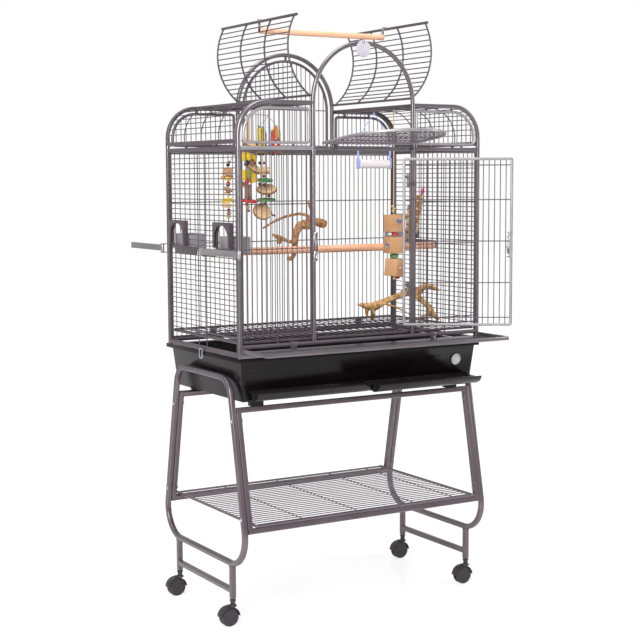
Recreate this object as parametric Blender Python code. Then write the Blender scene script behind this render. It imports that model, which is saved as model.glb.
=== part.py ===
"""Play-top parakeet cage on a castored stand. Metres, +Z up, the front towards -Y."""

import math

import bmesh
import bpy
from mathutils import Matrix, Vector

# Running clearance between two pieces that meet
GAP = 0.0003

# Wire and tube sizes
TUBE = 0.012
WIRE = 0.0013
BAR = 0.0015
PITCH = 0.0159
ROW_PITCH = 0.01437
PANEL = 0.007
EDGE = 0.004
LOOP = 0.008

# Cage
CAGE_W = 0.810
CAGE_D = 0.457
CAGE_FOOT = 0.7528
FRONT_RAIL = 0.777
REAR_RAIL = 0.758
MID_RAIL = 1.3155
TOP = 1.452
CORNER = 0.095
ARCH = 0.172
ARCH_RISE = 0.003
SLOT = 0.022
CROSS_BARS = (0.831, 1.048, 1.170)

# Front door, hung on an upright axis in front of the right arch leg
DOOR_FOOT = 0.8155
DOOR_H = 0.4815
DOOR_EDGE = 0.008
DOOR_FIT = 0.003
DOOR_OPEN = 147.0
DOOR_BARS = (0.052, 0.260, 0.507, 0.752, 0.955)
HINGE_LOW = 0.0895
HINGE_HIGH = 0.082
LATCH_UP = 0.2325
LATCH_H = 0.074
HINGE_STANDOFF = 0.0084
HINGE_INSET = 0.019
KNUCKLE = 0.0042
KNUCKLE_H = 0.018

# Arch door, hung on a level axis in front of the middle rail
ARCH_DOOR_R = 0.150
ARCH_DOOR_OPEN = 83.5
DISC = 0.0235
DISC_HANG = 0.020

# Top flaps, hung beside the arch
FLAP_HINGE_X = 0.170
FLAP_HINGE_UP = 0.015
FLAP_CHORD = 0.2207
FLAP_R = 0.165
FLAP_OPEN = 102.0
FLAP_BAR = 0.004

# Feeder windows and cups in the side panels
WINDOW_Y = (-0.1375, 0.147)
WINDOW_W = 0.084
WINDOW_Z = 1.047
WINDOW_H = 0.064
CUP_UP = 0.034
CUP_DEEP = 0.055
CUP_H = 0.046
ARM_Z = 1.025
ARM_H = 0.022
ARM_T = 0.003
ARM_LONG = CAGE_D - 0.227
ARM_STANDOFF = 0.0085

# Perches
PERCH_Z = 1.031
PERCH_R = 0.011
TOP_PERCH_R = 0.0085

# Base
FLANGE = 0.011
TUB_H = 0.111
TUB_IN = 0.010
TUB_W = CAGE_W - 2 * TUB_IN
TUB_D = CAGE_D - 2 * TUB_IN
TUB_FOOT_X = 0.33
TUB_TAPER = 0.0118
TUB_WALL = 0.004
TRAY_SLOT = 0.026
TRAY_SPLIT = 0.008
TRAY_W = 0.366
TRAY_OUT = (0.012, 0.042)
BADGE = 0.017
APRON_W = 0.800
APRON_D = 0.149
APRON_Z = 0.7705
SHEET = 0.0015
LIP = 0.011

# Stand of square tube
STAND_TUBE = 0.016
STAND_X = 0.4023
SPLAY = 0.198
LEG_Y = 0.187
LEG_Z = 0.578
STAND_TOP = 0.692
STAND_LOW = 0.175
TOP_BEND = 0.060
LOW_BEND = 0.085
POST_Y = 0.1719
POST_FOOT = 0.077
CROSS_Z = 0.0985
SIDE_TOP = 0.605
SIDE_LOW = 0.279
SHELF_BARS = (-0.21, -0.027, 0.168, 0.31)

# Castors
WHEEL = 0.026
WHEEL_W = 0.0095
TRAIL = 0.013
AXLE = 0.003

HALF_W = CAGE_W / 2
HALF_D = CAGE_D / 2
ARCH_Z = TOP - ARCH_RISE
INSIDE_W = HALF_W - TUBE - GAP
INSIDE_D = HALF_D - TUBE - GAP
FRONT = -HALF_D + TUBE / 2
REAR = HALF_D - TUBE / 2
SIDE = HALF_W - TUBE / 2
TUB_TOP = CAGE_FOOT - GAP
TUB_FOOT = TUB_TOP - FLANGE - TUB_H

MAUVE = ((0.19, 0.165, 0.185, 1), 0.38, 0.75)
BLACK = ((0.016, 0.014, 0.016, 1), 0.3, 0.0)
RUBBER = ((0.045, 0.042, 0.045, 1), 0.5, 0.0)
STEEL = ((0.62, 0.62, 0.64, 1), 0.3, 0.9)
WOOD = ((0.72, 0.43, 0.26, 1), 0.6, 0.0)
BARK = ((0.38, 0.2, 0.09, 1), 0.75, 0.0)
CUP_GREY = ((0.35, 0.36, 0.38, 1), 0.45, 0.0)
TOY_BLUE = ((0.35, 0.5, 0.72, 1), 0.4, 0.0)
TOY_MIX = ((0.55, 0.42, 0.16, 1), 0.7, 0.0)
LEAF = ((0.3, 0.28, 0.12, 1), 0.7, 0.0)


def start_scene():
    """Empty the scene, then make the collections and the empty that carries everything."""
    for obj in list(bpy.data.objects):
        bpy.data.objects.remove(obj, do_unlink=True)
    parts = bpy.data.collections.new("parakeet_cage")
    cutters = bpy.data.collections.new("cutters")
    for collection in (parts, cutters):
        bpy.context.scene.collection.children.link(collection)
    cutters.hide_render = True
    origin = bpy.data.objects.new("floor_centre", None)
    parts.objects.link(origin)
    return parts, cutters, origin


PARTS, CUTTERS, ORIGIN = start_scene()


def welded(mesh):
    """Close the loose caps of a mesh and turn its faces out."""
    bm = bmesh.new()
    bm.from_mesh(mesh)
    bmesh.ops.remove_doubles(bm, verts=bm.verts, dist=0.000005)
    bmesh.ops.recalc_face_normals(bm, faces=bm.faces)
    bm.to_mesh(mesh)
    bm.free()
    return mesh


def evaluated(data, matrix=None, cutter=None, operation="UNION", solver="EXACT"):
    """Mesh of this curve or mesh as Blender evaluates it, after one Boolean where a cutter is given."""
    obj = bpy.data.objects.new("shape", data)
    CUTTERS.objects.link(obj)
    tool = None
    if cutter is not None:
        tool = bpy.data.objects.new("tool", cutter)
        tool.hide_render = True
        tool.display_type = "WIRE"
        CUTTERS.objects.link(tool)
        boolean = obj.modifiers.new("boolean", "BOOLEAN")
        boolean.operation = operation
        boolean.solver = solver
        boolean.object = tool
    graph = bpy.context.evaluated_depsgraph_get()
    graph.update()
    mesh = bpy.data.meshes.new_from_object(obj.evaluated_get(graph))
    if matrix is not None:
        mesh.transform(matrix)
    bpy.data.objects.remove(obj)
    if tool is not None:
        bpy.data.objects.remove(tool)
    return welded(mesh)


def united(first, *others):
    for other in others:
        first = evaluated(first, cutter=other)
    return first


def cut(mesh, *tools):
    for tool in tools:
        mesh = evaluated(mesh, cutter=tool, operation="DIFFERENCE")
    return mesh


def together(*meshes):
    """One mesh that holds several shapes which stay clear of each other."""
    bm = bmesh.new()
    for mesh in meshes:
        bm.from_mesh(mesh)
    merged = bpy.data.meshes.new("shapes")
    bm.to_mesh(merged)
    bm.free()
    return merged


def moved(mesh, matrix):
    """Copy of a mesh in another place, which may be mirrored."""
    copy = mesh.copy()
    copy.transform(matrix)
    return welded(copy)


def mirrored(mesh):
    return moved(mesh, Matrix.Scale(-1, 4, (1, 0, 0)))


def box(low, high):
    bm = bmesh.new()
    size = [b - a for a, b in zip(low, high)]
    middle = [(a + b) / 2 for a, b in zip(low, high)]
    bmesh.ops.create_cube(bm, size=1, matrix=Matrix.Translation(middle) @ Matrix.Diagonal((*size, 1)))
    mesh = bpy.data.meshes.new("box")
    bm.to_mesh(mesh)
    bm.free()
    return mesh


def tapered(low_half, high_half, foot, top):
    """Box whose top and foot have different half sizes."""
    mesh = box((-1, -1, foot), (1, 1, top))
    for vertex in mesh.vertices:
        half = high_half if vertex.co.z > (foot + top) / 2 else low_half
        vertex.co.x *= half[0]
        vertex.co.y *= half[1]
    return mesh


def round_bar(start, end, radius, sides=16):
    start, end = Vector(start), Vector(end)
    bm = bmesh.new()
    bmesh.ops.create_cone(
        bm,
        cap_ends=True,
        segments=sides,
        radius1=radius,
        radius2=radius,
        depth=(end - start).length,
        matrix=Matrix.Translation((start + end) / 2)
        @ (end - start).to_track_quat("Z", "Y").to_matrix().to_4x4(),
    )
    mesh = bpy.data.meshes.new("bar")
    bm.to_mesh(mesh)
    bm.free()
    return mesh


def ball(centre, size, rings=5):
    bm = bmesh.new()
    matrix = Matrix.Translation(centre) @ Matrix.Diagonal((*size, 1))
    bmesh.ops.create_uvsphere(bm, u_segments=8, v_segments=rings, radius=1, matrix=matrix)
    mesh = bpy.data.meshes.new("ball")
    bm.to_mesh(mesh)
    bm.free()
    return mesh


def rods(lines, radius, smooth=0):
    """Wires along these lines of points, as one mesh of separate rods."""
    curve = bpy.data.curves.new("wire", "CURVE")
    curve.dimensions = "3D"
    curve.bevel_depth = radius
    curve.bevel_resolution = smooth
    curve.use_fill_caps = True
    for line in lines:
        spline = curve.splines.new("POLY")
        spline.points.add(len(line) - 1)
        for target, co in zip(spline.points, line):
            target.co = (*co, 1)
    return evaluated(curve)


FACING = {
    "X": Matrix(((0, 0, 1, 0), (1, 0, 0, 0), (0, 1, 0, 0), (0, 0, 0, 1))),
    "Y": Matrix(((1, 0, 0, 0), (0, 0, -1, 0), (0, 1, 0, 0), (0, 0, 0, 1))),
    "Z": Matrix.Identity(4),
}


def place(plane, u, v, across):
    """Point at u and v in the plane square to this axis, this far along the axis."""
    return {"X": (across, u, v), "Y": (u, across, v), "Z": (u, v, across)}[plane]


def flat(loops, thick, plane, across):
    """Flat outline with its holes, extruded to this thickness across its plane."""
    curve = bpy.data.curves.new("outline", "CURVE")
    curve.dimensions = "2D"
    curve.fill_mode = "BOTH"
    curve.extrude = thick / 2
    for loop in loops:
        spline = curve.splines.new("POLY")
        spline.points.add(len(loop) - 1)
        spline.use_cyclic_u = True
        for target, (u, v) in zip(spline.points, loop):
            target.co = (u, v, 0, 1)
    shift = Matrix.Translation(place(plane, 0, 0, across))
    return evaluated(curve, matrix=shift @ FACING[plane])


def arc(centre, radius, start, end, steps):
    """Points along an arc, angles in degrees, both ends included."""
    angles = [math.radians(start + (end - start) * i / steps) for i in range(steps + 1)]
    return [(centre[0] + radius * math.cos(a), centre[1] + radius * math.sin(a)) for a in angles]


def rectangle(left, right, foot, top):
    return [(left, foot), (right, foot), (right, top), (left, top)]


def rounded(corners, radii, grow=0.0, steps=6):
    """Anticlockwise outline with rounded corners, moved out by grow all the way round."""
    outline = []
    for i, corner in enumerate(corners):
        here = Vector(corner)
        before = (here - Vector(corners[i - 1])).normalized()
        after = (Vector(corners[(i + 1) % len(corners)]) - here).normalized()
        out_a, out_b = Vector((before.y, -before.x)), Vector((after.y, -after.x))
        here = here + (out_a + out_b) / (1 + out_a.dot(out_b)) * grow
        turn = math.atan2(before.x * after.y - before.y * after.x, before.dot(after))
        radius = radii[i] + grow
        if radii[i] <= 0:
            outline.append(tuple(here))
            continue
        reach = radius * math.tan(turn / 2)
        centre = here - before * reach - out_a * radius
        start = math.degrees(math.atan2(out_a.y, out_a.x))
        outline += arc(centre, radius, start, start + math.degrees(turn), steps)
    return outline


def ribbon(line, width):
    """Outline of a strip of this width along a line of points."""
    points = [Vector(p) for p in line]
    sides = ([], [])
    for i, here in enumerate(points):
        way = (points[min(i + 1, len(points) - 1)] - points[max(i - 1, 0)]).normalized()
        across = Vector((-way.y, way.x)) * width / 2
        sides[0].append(tuple(here - across))
        sides[1].append(tuple(here + across))
    return sides[0] + sides[1][::-1]


def spread(low, high, pitch):
    """Even positions between two edges, leaving out the edges."""
    count = max(2, round((high - low) / pitch))
    return [low + (high - low) * i / count for i in range(1, count)]


MATERIALS = {}


def material(finish):
    """Principled material of this colour, roughness and metallic value."""
    if finish not in MATERIALS:
        made = bpy.data.materials.new("finish")
        made.use_nodes = True
        shader = made.node_tree.nodes["Principled BSDF"]
        shader.inputs["Base Color"].default_value = finish[0]
        shader.inputs["Roughness"].default_value = finish[1]
        shader.inputs["Metallic"].default_value = finish[2]
        MATERIALS[finish] = made
    return MATERIALS[finish]


def part(name, mesh, finish, pivot=(0, 0, 0), smooth=False):
    """Named sub-part with its own material and its origin at the pivot."""
    mesh.transform(Matrix.Translation(-Vector(pivot)))
    mesh.name = name
    own = material(finish).copy()
    own.name = name
    mesh.materials.clear()
    mesh.materials.append(own)
    if smooth:
        mesh.shade_smooth()
        mesh.set_sharp_from_angle(angle=math.radians(40))
    obj = bpy.data.objects.new(name, mesh)
    obj.location = pivot
    obj.parent = ORIGIN
    PARTS.objects.link(obj)
    return obj


def frame_outline(post_foot, rail):
    """Outside of the front or rear frame, with the arch on top."""
    side, step = HALF_W, HALF_W - TUBE
    lean = math.degrees(math.asin(ARCH_RISE / ARCH))
    outline = [(-side, post_foot), (-step, post_foot), (-step, rail), (step, rail), (step, post_foot)]
    outline += [(side, post_foot)]
    outline += arc((side - CORNER, TOP - CORNER), CORNER, 0, 90, 8)
    outline += arc((0, ARCH_Z), ARCH, lean, 180 - lean, 24)
    outline += arc((CORNER - side, TOP - CORNER), CORNER, 90, 180, 8)
    return outline


def gable_hole(low):
    """Hole beside the arch on the right, under the rounded top corner."""
    inner = HALF_W - TUBE
    hole = [(ARCH, low), (inner, low)]
    hole += arc((HALF_W - CORNER, TOP - CORNER), CORNER - TUBE, 0, 90, 8)
    return hole + [(ARCH, TOP - TUBE)]


def arch_hole(low):
    return [(TUBE - ARCH, low), (ARCH - TUBE, low)] + arc((0, ARCH_Z), ARCH - TUBE, 0, 180, 22)


def flipped(outline):
    return [(-u, v) for u, v in outline[::-1]]


def staple(x, low, high, y):
    """Upright rod held off a face at both ends."""
    off = y - 0.006
    return rods([[(x, y + 0.002, low), (x, off, low), (x, off, high), (x, y + 0.002, high)]], 0.0016)


def front_frame():
    """Front frame with its arch, door hinge knuckles, arm pivots and the screw of the disc."""
    inner, leg = HALF_W - TUBE, ARCH - TUBE
    floor, ceiling = FRONT_RAIL + TUBE, MID_RAIL
    above = MID_RAIL + TUBE
    loops = [
        frame_outline(CAGE_FOOT, FRONT_RAIL),
        rectangle(-leg, leg, floor, ceiling),
        rectangle(ARCH, inner, floor, ceiling),
        rectangle(-inner, -ARCH, floor, ceiling),
        gable_hole(above),
        flipped(gable_hole(above)),
        arch_hole(above),
    ]
    frame = flat(loops, TUBE, "Y", FRONT)
    hardware = [knuckle_fixed(z) for z in DOOR_HINGES]
    hardware += [arch_knuckle_fixed(x) for x in ARCH_HINGES]
    hardware.append(disc_screw())
    latch_z = DOOR_FOOT + LATCH_UP
    hardware.append(staple(-ARCH + TUBE / 2, latch_z - 0.028, latch_z + 0.042, -HALF_D))
    return united(frame, together(*hardware), front_pivot())


DOOR_HINGES = (DOOR_FOOT + HINGE_LOW, DOOR_FOOT + DOOR_H - HINGE_HIGH)
DOOR_AXIS = (ARCH - TUBE - HINGE_INSET, -HALF_D - HINGE_STANDOFF)
ARCH_HINGES = (-0.128, 0.128)
ARCH_AXIS = (-HALF_D - 0.008, MID_RAIL + TUBE / 2)


def knuckle_fixed(z):
    """Half of a door hinge: a barrel on the axis and its leaf on the arch leg."""
    x, y = DOOR_AXIS
    barrel = round_bar((x, y, z), (x, y, z + KNUCKLE_H), KNUCKLE, 12)
    leaf = box((x, y - 0.001, z + 0.001), (ARCH - 0.002, y + 0.001, z + KNUCKLE_H - 0.001))
    spacer = box((ARCH - TUBE + 0.001, y - 0.0005, z + 0.002), (ARCH - 0.003, -HALF_D + 0.001, z + 0.015))
    return united(barrel, leaf, spacer)


def arch_knuckle_fixed(x):
    y, z = ARCH_AXIS
    barrel = round_bar((x, y, z), (x + 0.014, y, z), 0.004, 12)
    leaf = box((x + 0.001, y, z - 0.003), (x + 0.013, -HALF_D + 0.001, z + 0.003))
    return united(barrel, leaf)


DISC_Z = ARCH_Z + ARCH - TUBE + 0.009


def disc_screw():
    """Screw on the arch that the disc hangs on, with its head in front of the disc."""
    y = -HALF_D
    shank = round_bar((-0.006, y + 0.002, DISC_Z), (-0.006, y - 0.0042, DISC_Z), 0.002, 10)
    head = round_bar((-0.006, y - 0.0029, DISC_Z), (-0.006, y - 0.005, DISC_Z), 0.0045, 12)
    return united(shank, head)


def arm_clevis(x, y, inner_y):
    """Two plates that carry an arm's pivot beside a corner post on the right."""
    low, high = min(y, inner_y), max(y, inner_y)
    reach = (0.006 if y < inner_y else 0, 0.006 if y > inner_y else 0)
    plates = []
    for z in (ARM_Z - GAP - 0.002, ARM_Z + ARM_H + GAP):
        plates.append(box((HALF_W - 0.004, low - reach[0], z), (x + 0.005, high + reach[1], z + 0.002)))
    return plates


PIVOT_X = HALF_W + ARM_STANDOFF
FRONT_PIVOT = -HALF_D - 0.0215
REAR_PIVOT = HALF_D + 0.009


def front_pivot():
    """The front left arm's pivot; there is no feeder at the front right."""
    return mirrored(together(*arm_clevis(PIVOT_X, FRONT_PIVOT, -HALF_D + 0.006)))


def rear_frame():
    """Rear frame with its arch, the ledges of the grate and the arm pivots."""
    inner = HALF_W - TUBE
    above = MID_RAIL + TUBE
    loops = [
        frame_outline(CAGE_FOOT, REAR_RAIL),
        rectangle(-inner, inner, REAR_RAIL + TUBE, MID_RAIL),
        gable_hole(above),
        flipped(gable_hole(above)),
        arch_hole(above),
    ]
    frame = flat(loops, TUBE, "Y", REAR)
    right = together(*arm_clevis(PIVOT_X, REAR_PIVOT, HALF_D - 0.006))
    ledges = [grate_ledge(x) for x in (-0.26, 0.26)]
    return united(frame, together(right, mirrored(right), *ledges))


def grate_ledge(x):
    """Small bracket on the rear rail that the grate rests on."""
    top = GRATE_Z - GAP
    shelf_plate = box((x - 0.012, REAR - TUBE, top - 0.0015), (x + 0.012, REAR - 0.0055, top))
    back_plate = box((x - 0.012, REAR - 0.0071, REAR_RAIL + 0.004), (x + 0.012, REAR - 0.0055, top))
    return united(shelf_plate, back_plate)


GRATE_Z = FRONT_RAIL + TUBE + GAP + SHEET + GAP


def planar(plane, across, facing, outline, hole, wires, bars, edge=PANEL, plates=()):
    """Wire panel: a flat rim, thin wires on one side and cross bars on the other, clear of the wires."""
    rim = together(flat([outline, hole], edge, plane, across), *plates)
    wire_at = across + facing * 0.0018
    bar_at = across - facing * 0.0016
    lines = [[place(plane, *a, wire_at), place(plane, *b, wire_at)] for a, b in wires]
    cross = [[place(plane, *a, bar_at), place(plane, *b, bar_at)] for a, b in bars]
    shapes = [rods(lines, WIRE)]
    if cross:
        shapes.append(rods(cross, BAR))
    if plates:
        return evaluated(rim, cutter=together(*shapes), solver="MANIFOLD")
    return united(rim, together(*shapes))


def framed(left, right, foot, top, across, facing, heights):
    """Upright panel across Y with vertical wires."""
    outline = rectangle(left, right, foot, top)
    hole = rectangle(left + EDGE, right - EDGE, foot + EDGE, top - EDGE)
    sunk = EDGE / 2
    wires = [((x, foot + sunk), (x, top - sunk)) for x in spread(left, right, PITCH)]
    bars = [((left + sunk, z), (right - sunk, z)) for z in heights]
    return planar("Y", across, facing, outline, hole, wires, bars)


def front_grille():
    """Right front grille, which stops above the slot, with one strut down to the rail."""
    foot = FRONT_RAIL + TUBE + SLOT
    left, right = ARCH + GAP, HALF_W - TUBE - GAP
    panel = framed(left, right, foot, MID_RAIL - GAP, FRONT, -1, CROSS_BARS)
    middle = (left + right) / 2
    deep = FRONT + 0.0006
    strut = rods([[(middle, deep, FRONT_RAIL + TUBE + GAP), (middle, deep, foot + 0.002)]], 0.002)
    return united(panel, strut)


def gable(plane_y, facing):
    """Right gable grille: a rounded loop of rod, its wires and the clips that hold it in the frame."""
    low = MID_RAIL + TUBE + 0.0055
    left, right, top = ARCH + 0.004, HALF_W - TUBE - 0.006, TOP - TUBE - 0.006
    bend = CORNER - TUBE - 0.006
    corners = [(left, low), (right, low), (right, top), (left, top)]
    radii = [0.012, 0.012, bend, 0.012]
    outline = rounded(corners, radii, steps=4)
    hole = rounded(corners, radii, grow=-LOOP, steps=4)
    wires = []
    for x in spread(left, right, PITCH):
        over = x - (right - bend)
        drop = bend - math.sqrt(max(bend * bend - over * over, 0)) if over > 0 else 0
        wires.append(((x, low + LOOP / 2), (x, top - drop - LOOP / 2)))
    panel = planar("Y", plane_y, facing, outline, hole, wires, [], edge=LOOP)
    clips = [clip(x, plane_y, top - 0.002, TOP - TUBE - GAP) for x in (left + 0.035, right - bend - 0.01)]
    clips += [clip(x, plane_y, MID_RAIL + TUBE + GAP, low + 0.002) for x in (left + 0.05, right - 0.05)]
    return united(panel, together(*clips))


def clip(x, y, low, high, wide=0.006):
    """Small block that holds a grille off the tube beside it."""
    return box((x, y - 0.003, low), (x + wide, y + 0.003, high))


def rear_arch_grille():
    """Grille that fills the rear arch."""
    low = MID_RAIL + TUBE + 0.0055
    radius = ARCH - TUBE - 0.009
    centre = (0, ARCH_Z)

    def ring(size, foot):
        return [(-size, foot), (size, foot)] + arc(centre, size, 0, 180, 18)

    inner = radius - LOOP
    wires = []
    for x in spread(-radius, radius, PITCH):
        middle = radius - LOOP / 2
        top = ARCH_Z + math.sqrt(max(middle * middle - x * x, 0))
        wires.append(((x, low + LOOP / 2), (x, top)))
    bars = [((-radius + LOOP / 2, z), (radius - LOOP / 2, z)) for z in (ARCH_Z,)]
    panel = planar("Y", REAR, 1, ring(radius, low), ring(inner, low + LOOP), wires, bars, edge=LOOP)
    clips = [clip(x, REAR, MID_RAIL + TUBE + GAP, low + 0.002) for x in (-0.1, 0.09)]
    clips.append(clip(-0.003, REAR, ARCH_Z + radius - 0.002, ARCH_Z + ARCH - TUBE - 0.0005))
    return united(panel, together(*clips))


def window_arch(y, foot, half, height):
    """Outline of a feeder window, with its top corners cut round."""
    return rounded(
        [(y - half, foot), (y + half, foot), (y + half, foot + height), (y - half, foot + height)],
        [0, 0, half * 0.55, half * 0.55],
        steps=4,
    )


def side_panel(windows):
    """Right side panel: level wires, two uprights and the plates of its feeder windows."""
    low, high = CAGE_FOOT + 0.002, MID_RAIL + TUBE
    inside = INSIDE_D - EDGE
    outline = rectangle(-INSIDE_D, INSIDE_D, low, high)
    hole = rectangle(-inside, inside, low + TUBE, high - TUBE)
    sunk = INSIDE_D - EDGE / 2
    plates = []
    spans = []
    for y in windows:
        half = WINDOW_W / 2 + 0.007
        spans.append((y - half, y + half, WINDOW_Z - 0.007, WINDOW_Z + WINDOW_H + 0.009))
    wires = []
    for z in spread(low + TUBE + 0.012, high - TUBE - 0.004, ROW_PITCH):
        edges = [-sunk]
        for left, right, foot, top in spans:
            if foot - WIRE < z < top + WIRE:
                edges += [left + 0.003, right - 0.003]
        edges.append(sunk)
        wires += [((a, z), (b, z)) for a, b in zip(edges[::2], edges[1::2])]
    bars = [((y, low + TUBE / 2), (y, high - TUBE / 2)) for y in (-0.02, 0.03)]
    for y, (left, right, foot, top) in zip(windows, spans):
        window = window_arch(y, WINDOW_Z, WINDOW_W / 2, WINDOW_H)
        plates.append(flat([rectangle(left, right, foot, top), window], 0.0064, "X", SIDE))
    panel = planar("X", SIDE, 1, outline, hole, wires, bars, edge=TUBE - 0.002, plates=plates)
    braces = [cup_brace(y) for y in windows]
    low, high = HALF_W - 0.004, HALF_W + 0.0055
    lugs = [round_bar((low, y, LATCH_Z), (high, y, LATCH_Z), 0.003, 8) for y in (-0.018, 0.012)]
    return united(panel, together(*braces), arm_rail(), together(*lugs))


def cup_brace(y):
    """Bent strap under a window that its cup stands on."""
    foot = WINDOW_Z + CUP_UP - CUP_H - GAP
    ledge = box((SIDE - 0.022, y - 0.02, foot - 0.002), (SIDE, y + 0.02, foot))
    strap = box((SIDE - 0.001, y - 0.018, foot - 0.0016), (SIDE + 0.003, y + 0.018, WINDOW_Z - 0.004))
    return united(ledge, strap)


def arm_rail():
    """Plate on two links that the closed arms lie beside."""
    low, high = ARM_Z, ARM_Z + ARM_H
    plate = box((HALF_W - 0.0005, 0.022, low), (HALF_W + 0.0025, 0.165, high))
    links = [
        box((SIDE + 0.001, y - 0.004, low + 0.004), (HALF_W + 0.001, y + 0.004, high))
        for y in (0.034, 0.155)
    ]
    return united(plate, together(*links))


LATCH_Z = CAGE_FOOT + 0.008


def base_latch():
    """Wire hook on the right that swings down beside the flange."""
    x = HALF_W + 0.0036
    high, low = LATCH_Z + 0.001, LATCH_Z - 0.028
    hook = rods([[(x, -0.0105, high), (x, -0.0105, low), (x, 0.0065, low), (x, 0.0065, high)]], 0.0015, 1)
    top = round_bar((x, -0.0125, LATCH_Z), (x, 0.0085, LATCH_Z), 0.0021, 8)
    return united(hook, top)


def roof_line(inset, start_z, end_x, steps=8):
    """Line over the right shoulder of the cage, this far under the outer skin."""
    radius = CORNER - inset
    centre = (HALF_W - CORNER, TOP - CORNER)
    return [(HALF_W - inset, start_z)] + arc(centre, radius, 0, 90, steps) + [(end_x, TOP - inset)]


def along(line, pitch, skip):
    """Points at even steps along a line, leaving out its ends."""
    lengths = [0.0]
    for a, b in zip(line, line[1:]):
        lengths.append(lengths[-1] + math.dist(a, b))
    found = []
    for target in spread(skip, lengths[-1] - skip, pitch):
        i = max(k for k in range(len(line) - 1) if lengths[k] <= target)
        share = (target - lengths[i]) / (lengths[i + 1] - lengths[i])
        a, b = line[i], line[i + 1]
        found.append((a[0] + (b[0] - a[0]) * share, a[1] + (b[1] - a[1]) * share))
    return found


def roof():
    """Right roof grille: wires from front to rear over curved ribs."""
    low = MID_RAIL + TUBE + 0.006
    line = roof_line(0.003, low + 0.004, ARCH + 0.006)
    end = INSIDE_D
    ribs = [flat([ribbon(line, 0.006)], 0.006, "Y", y) for y in (-end + 0.003, end - 0.003)]
    under = roof_line(0.0058, low + 0.004, ARCH + 0.006)
    ribs += [flat([ribbon(under, 0.0028)], 0.003, "Y", y) for y in (-end / 2, 0.0, end / 2)]
    skin = roof_line(0.0024, low + 0.004, ARCH + 0.006)
    wires = [[(x, 0.003 - end, z), (x, end - 0.003, z)] for x, z in along(skin, PITCH, 0.012)]
    rail = box((HALF_W - 0.010, -end + 0.001, low), (HALF_W - 0.0005, end - 0.001, low + TUBE))
    beam = box((ARCH + GAP, -end + 0.001, TOP - TUBE), (ARCH + 0.010, end - 0.001, TOP - 0.0005))
    inner, outer, foot = HALF_W - 0.008, HALF_W - 0.003, MID_RAIL + TUBE + GAP
    feet = [box((inner, y, foot), (outer, y + 0.01, low + 0.002)) for y in (-0.1, 0.09)]
    shell = united(together(*ribs), together(rail, beam))
    return united(shell, rods(wires, WIRE), together(*feet))


FLAP_AXIS = (FLAP_HINGE_X, TOP + FLAP_HINGE_UP)


def flap_curve(radius_in):
    """Curve of the open right flap from its hinge to its free bar, moved in by this much."""
    lean = math.radians(180 - FLAP_OPEN)
    way = Vector((math.cos(lean), math.sin(lean)))
    out = Vector((math.sin(lean), -math.cos(lean)))
    start = Vector(FLAP_AXIS)
    deep = math.sqrt(FLAP_R**2 - (FLAP_CHORD / 2) ** 2)
    centre = start + way * FLAP_CHORD / 2 - out * deep
    first = start - centre
    last = start + way * FLAP_CHORD - centre
    a = math.degrees(math.atan2(first.y, first.x))
    b = math.degrees(math.atan2(last.y, last.x))
    return arc(tuple(centre), FLAP_R - radius_in, a, b, 14)


def flap_end():
    """Middle of the right flap's free bar."""
    return flap_curve(0.0)[-1]


def flap():
    """Right top flap as it stands open, with its hinge rod, ribs, wires and heavy free bar."""
    line = flap_curve(0.0)
    end = INSIDE_D - 0.001
    ribs = [flat([ribbon(line, 0.005)], 0.004, "Y", y) for y in (-end + 0.004, end - 0.004)]
    ribs += [flat([ribbon(flap_curve(0.0031), 0.0028)], 0.003, "Y", y) for y in (-end / 3, end / 3)]
    wires = [[(x, -end + 0.004, z), (x, end - 0.004, z)] for x, z in along(line, 0.0155, 0.004)]
    x, z = FLAP_AXIS
    hinge = rods([[(x, -INSIDE_D, z), (x, INSIDE_D, z)]], 0.0034, 1)
    x, z = line[-1]
    bar = rods([[(x, -end - 0.008, z), (x, end + 0.008, z)]], FLAP_BAR, 1)
    return united(together(*ribs), together(hinge, bar), rods(wires, WIRE))


def front_door():
    """Front door, closed, about its hinge axis at the origin."""
    x, y = DOOR_AXIS
    half = ARCH - TUBE - DOOR_FIT
    left, right, foot, top = -half - x, half - x, DOOR_FOOT, DOOR_FOOT + DOOR_H
    across = FRONT - y
    outline = rectangle(left, right, foot, top)
    hole = rectangle(left + DOOR_EDGE, right - DOOR_EDGE, foot + DOOR_EDGE, top - DOOR_EDGE)
    sunk = DOOR_EDGE / 2
    wires = [((u, foot + sunk), (u, top - sunk)) for u in spread(left + sunk, right - sunk, PITCH)]
    heights = [foot + share * DOOR_H for share in DOOR_BARS]
    bars = [((left + sunk, v), (right - sunk, v)) for v in heights]
    panel = planar("Y", across, -1, outline, hole, wires, bars, edge=0.008)
    leaves = []
    for z in DOOR_HINGES:
        low = z + KNUCKLE_H + GAP
        barrel = round_bar((0, 0, low), (0, 0, low + KNUCKLE_H), KNUCKLE, 12)
        leaf = box((0, -0.001, low + 0.001), (right - 0.003, 0.0015, low + KNUCKLE_H - 0.001))
        web = box((right - 0.007, 0, low + 0.001), (right - 0.003, across - 0.003, low + KNUCKLE_H - 0.001))
        leaves.append(united(barrel, leaf, web))
    return united(panel, together(*leaves))


def door_latch():
    """Sliding latch on the closed door's free stile, about the door's axis."""
    x, y = DOOR_AXIS
    left = -(ARCH - TUBE - DOOR_FIT) - x
    face = FRONT - y - 0.004 - GAP
    z, tall = DOOR_FOOT + LATCH_UP, LATCH_H / 2
    body = box((left + 0.0005, face - 0.012, z - tall), (left + 0.016, face, z + tall))
    slot = tall - 0.011
    body = cut(body, box((left + 0.004, face - 0.013, z - slot), (left + 0.0125, face - 0.006, z + slot)))
    bolt = box((left + 0.006, face - 0.018, z - 0.008), (left + 0.0105, face - 0.003, z + 0.006))
    return united(body, bolt)


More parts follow.
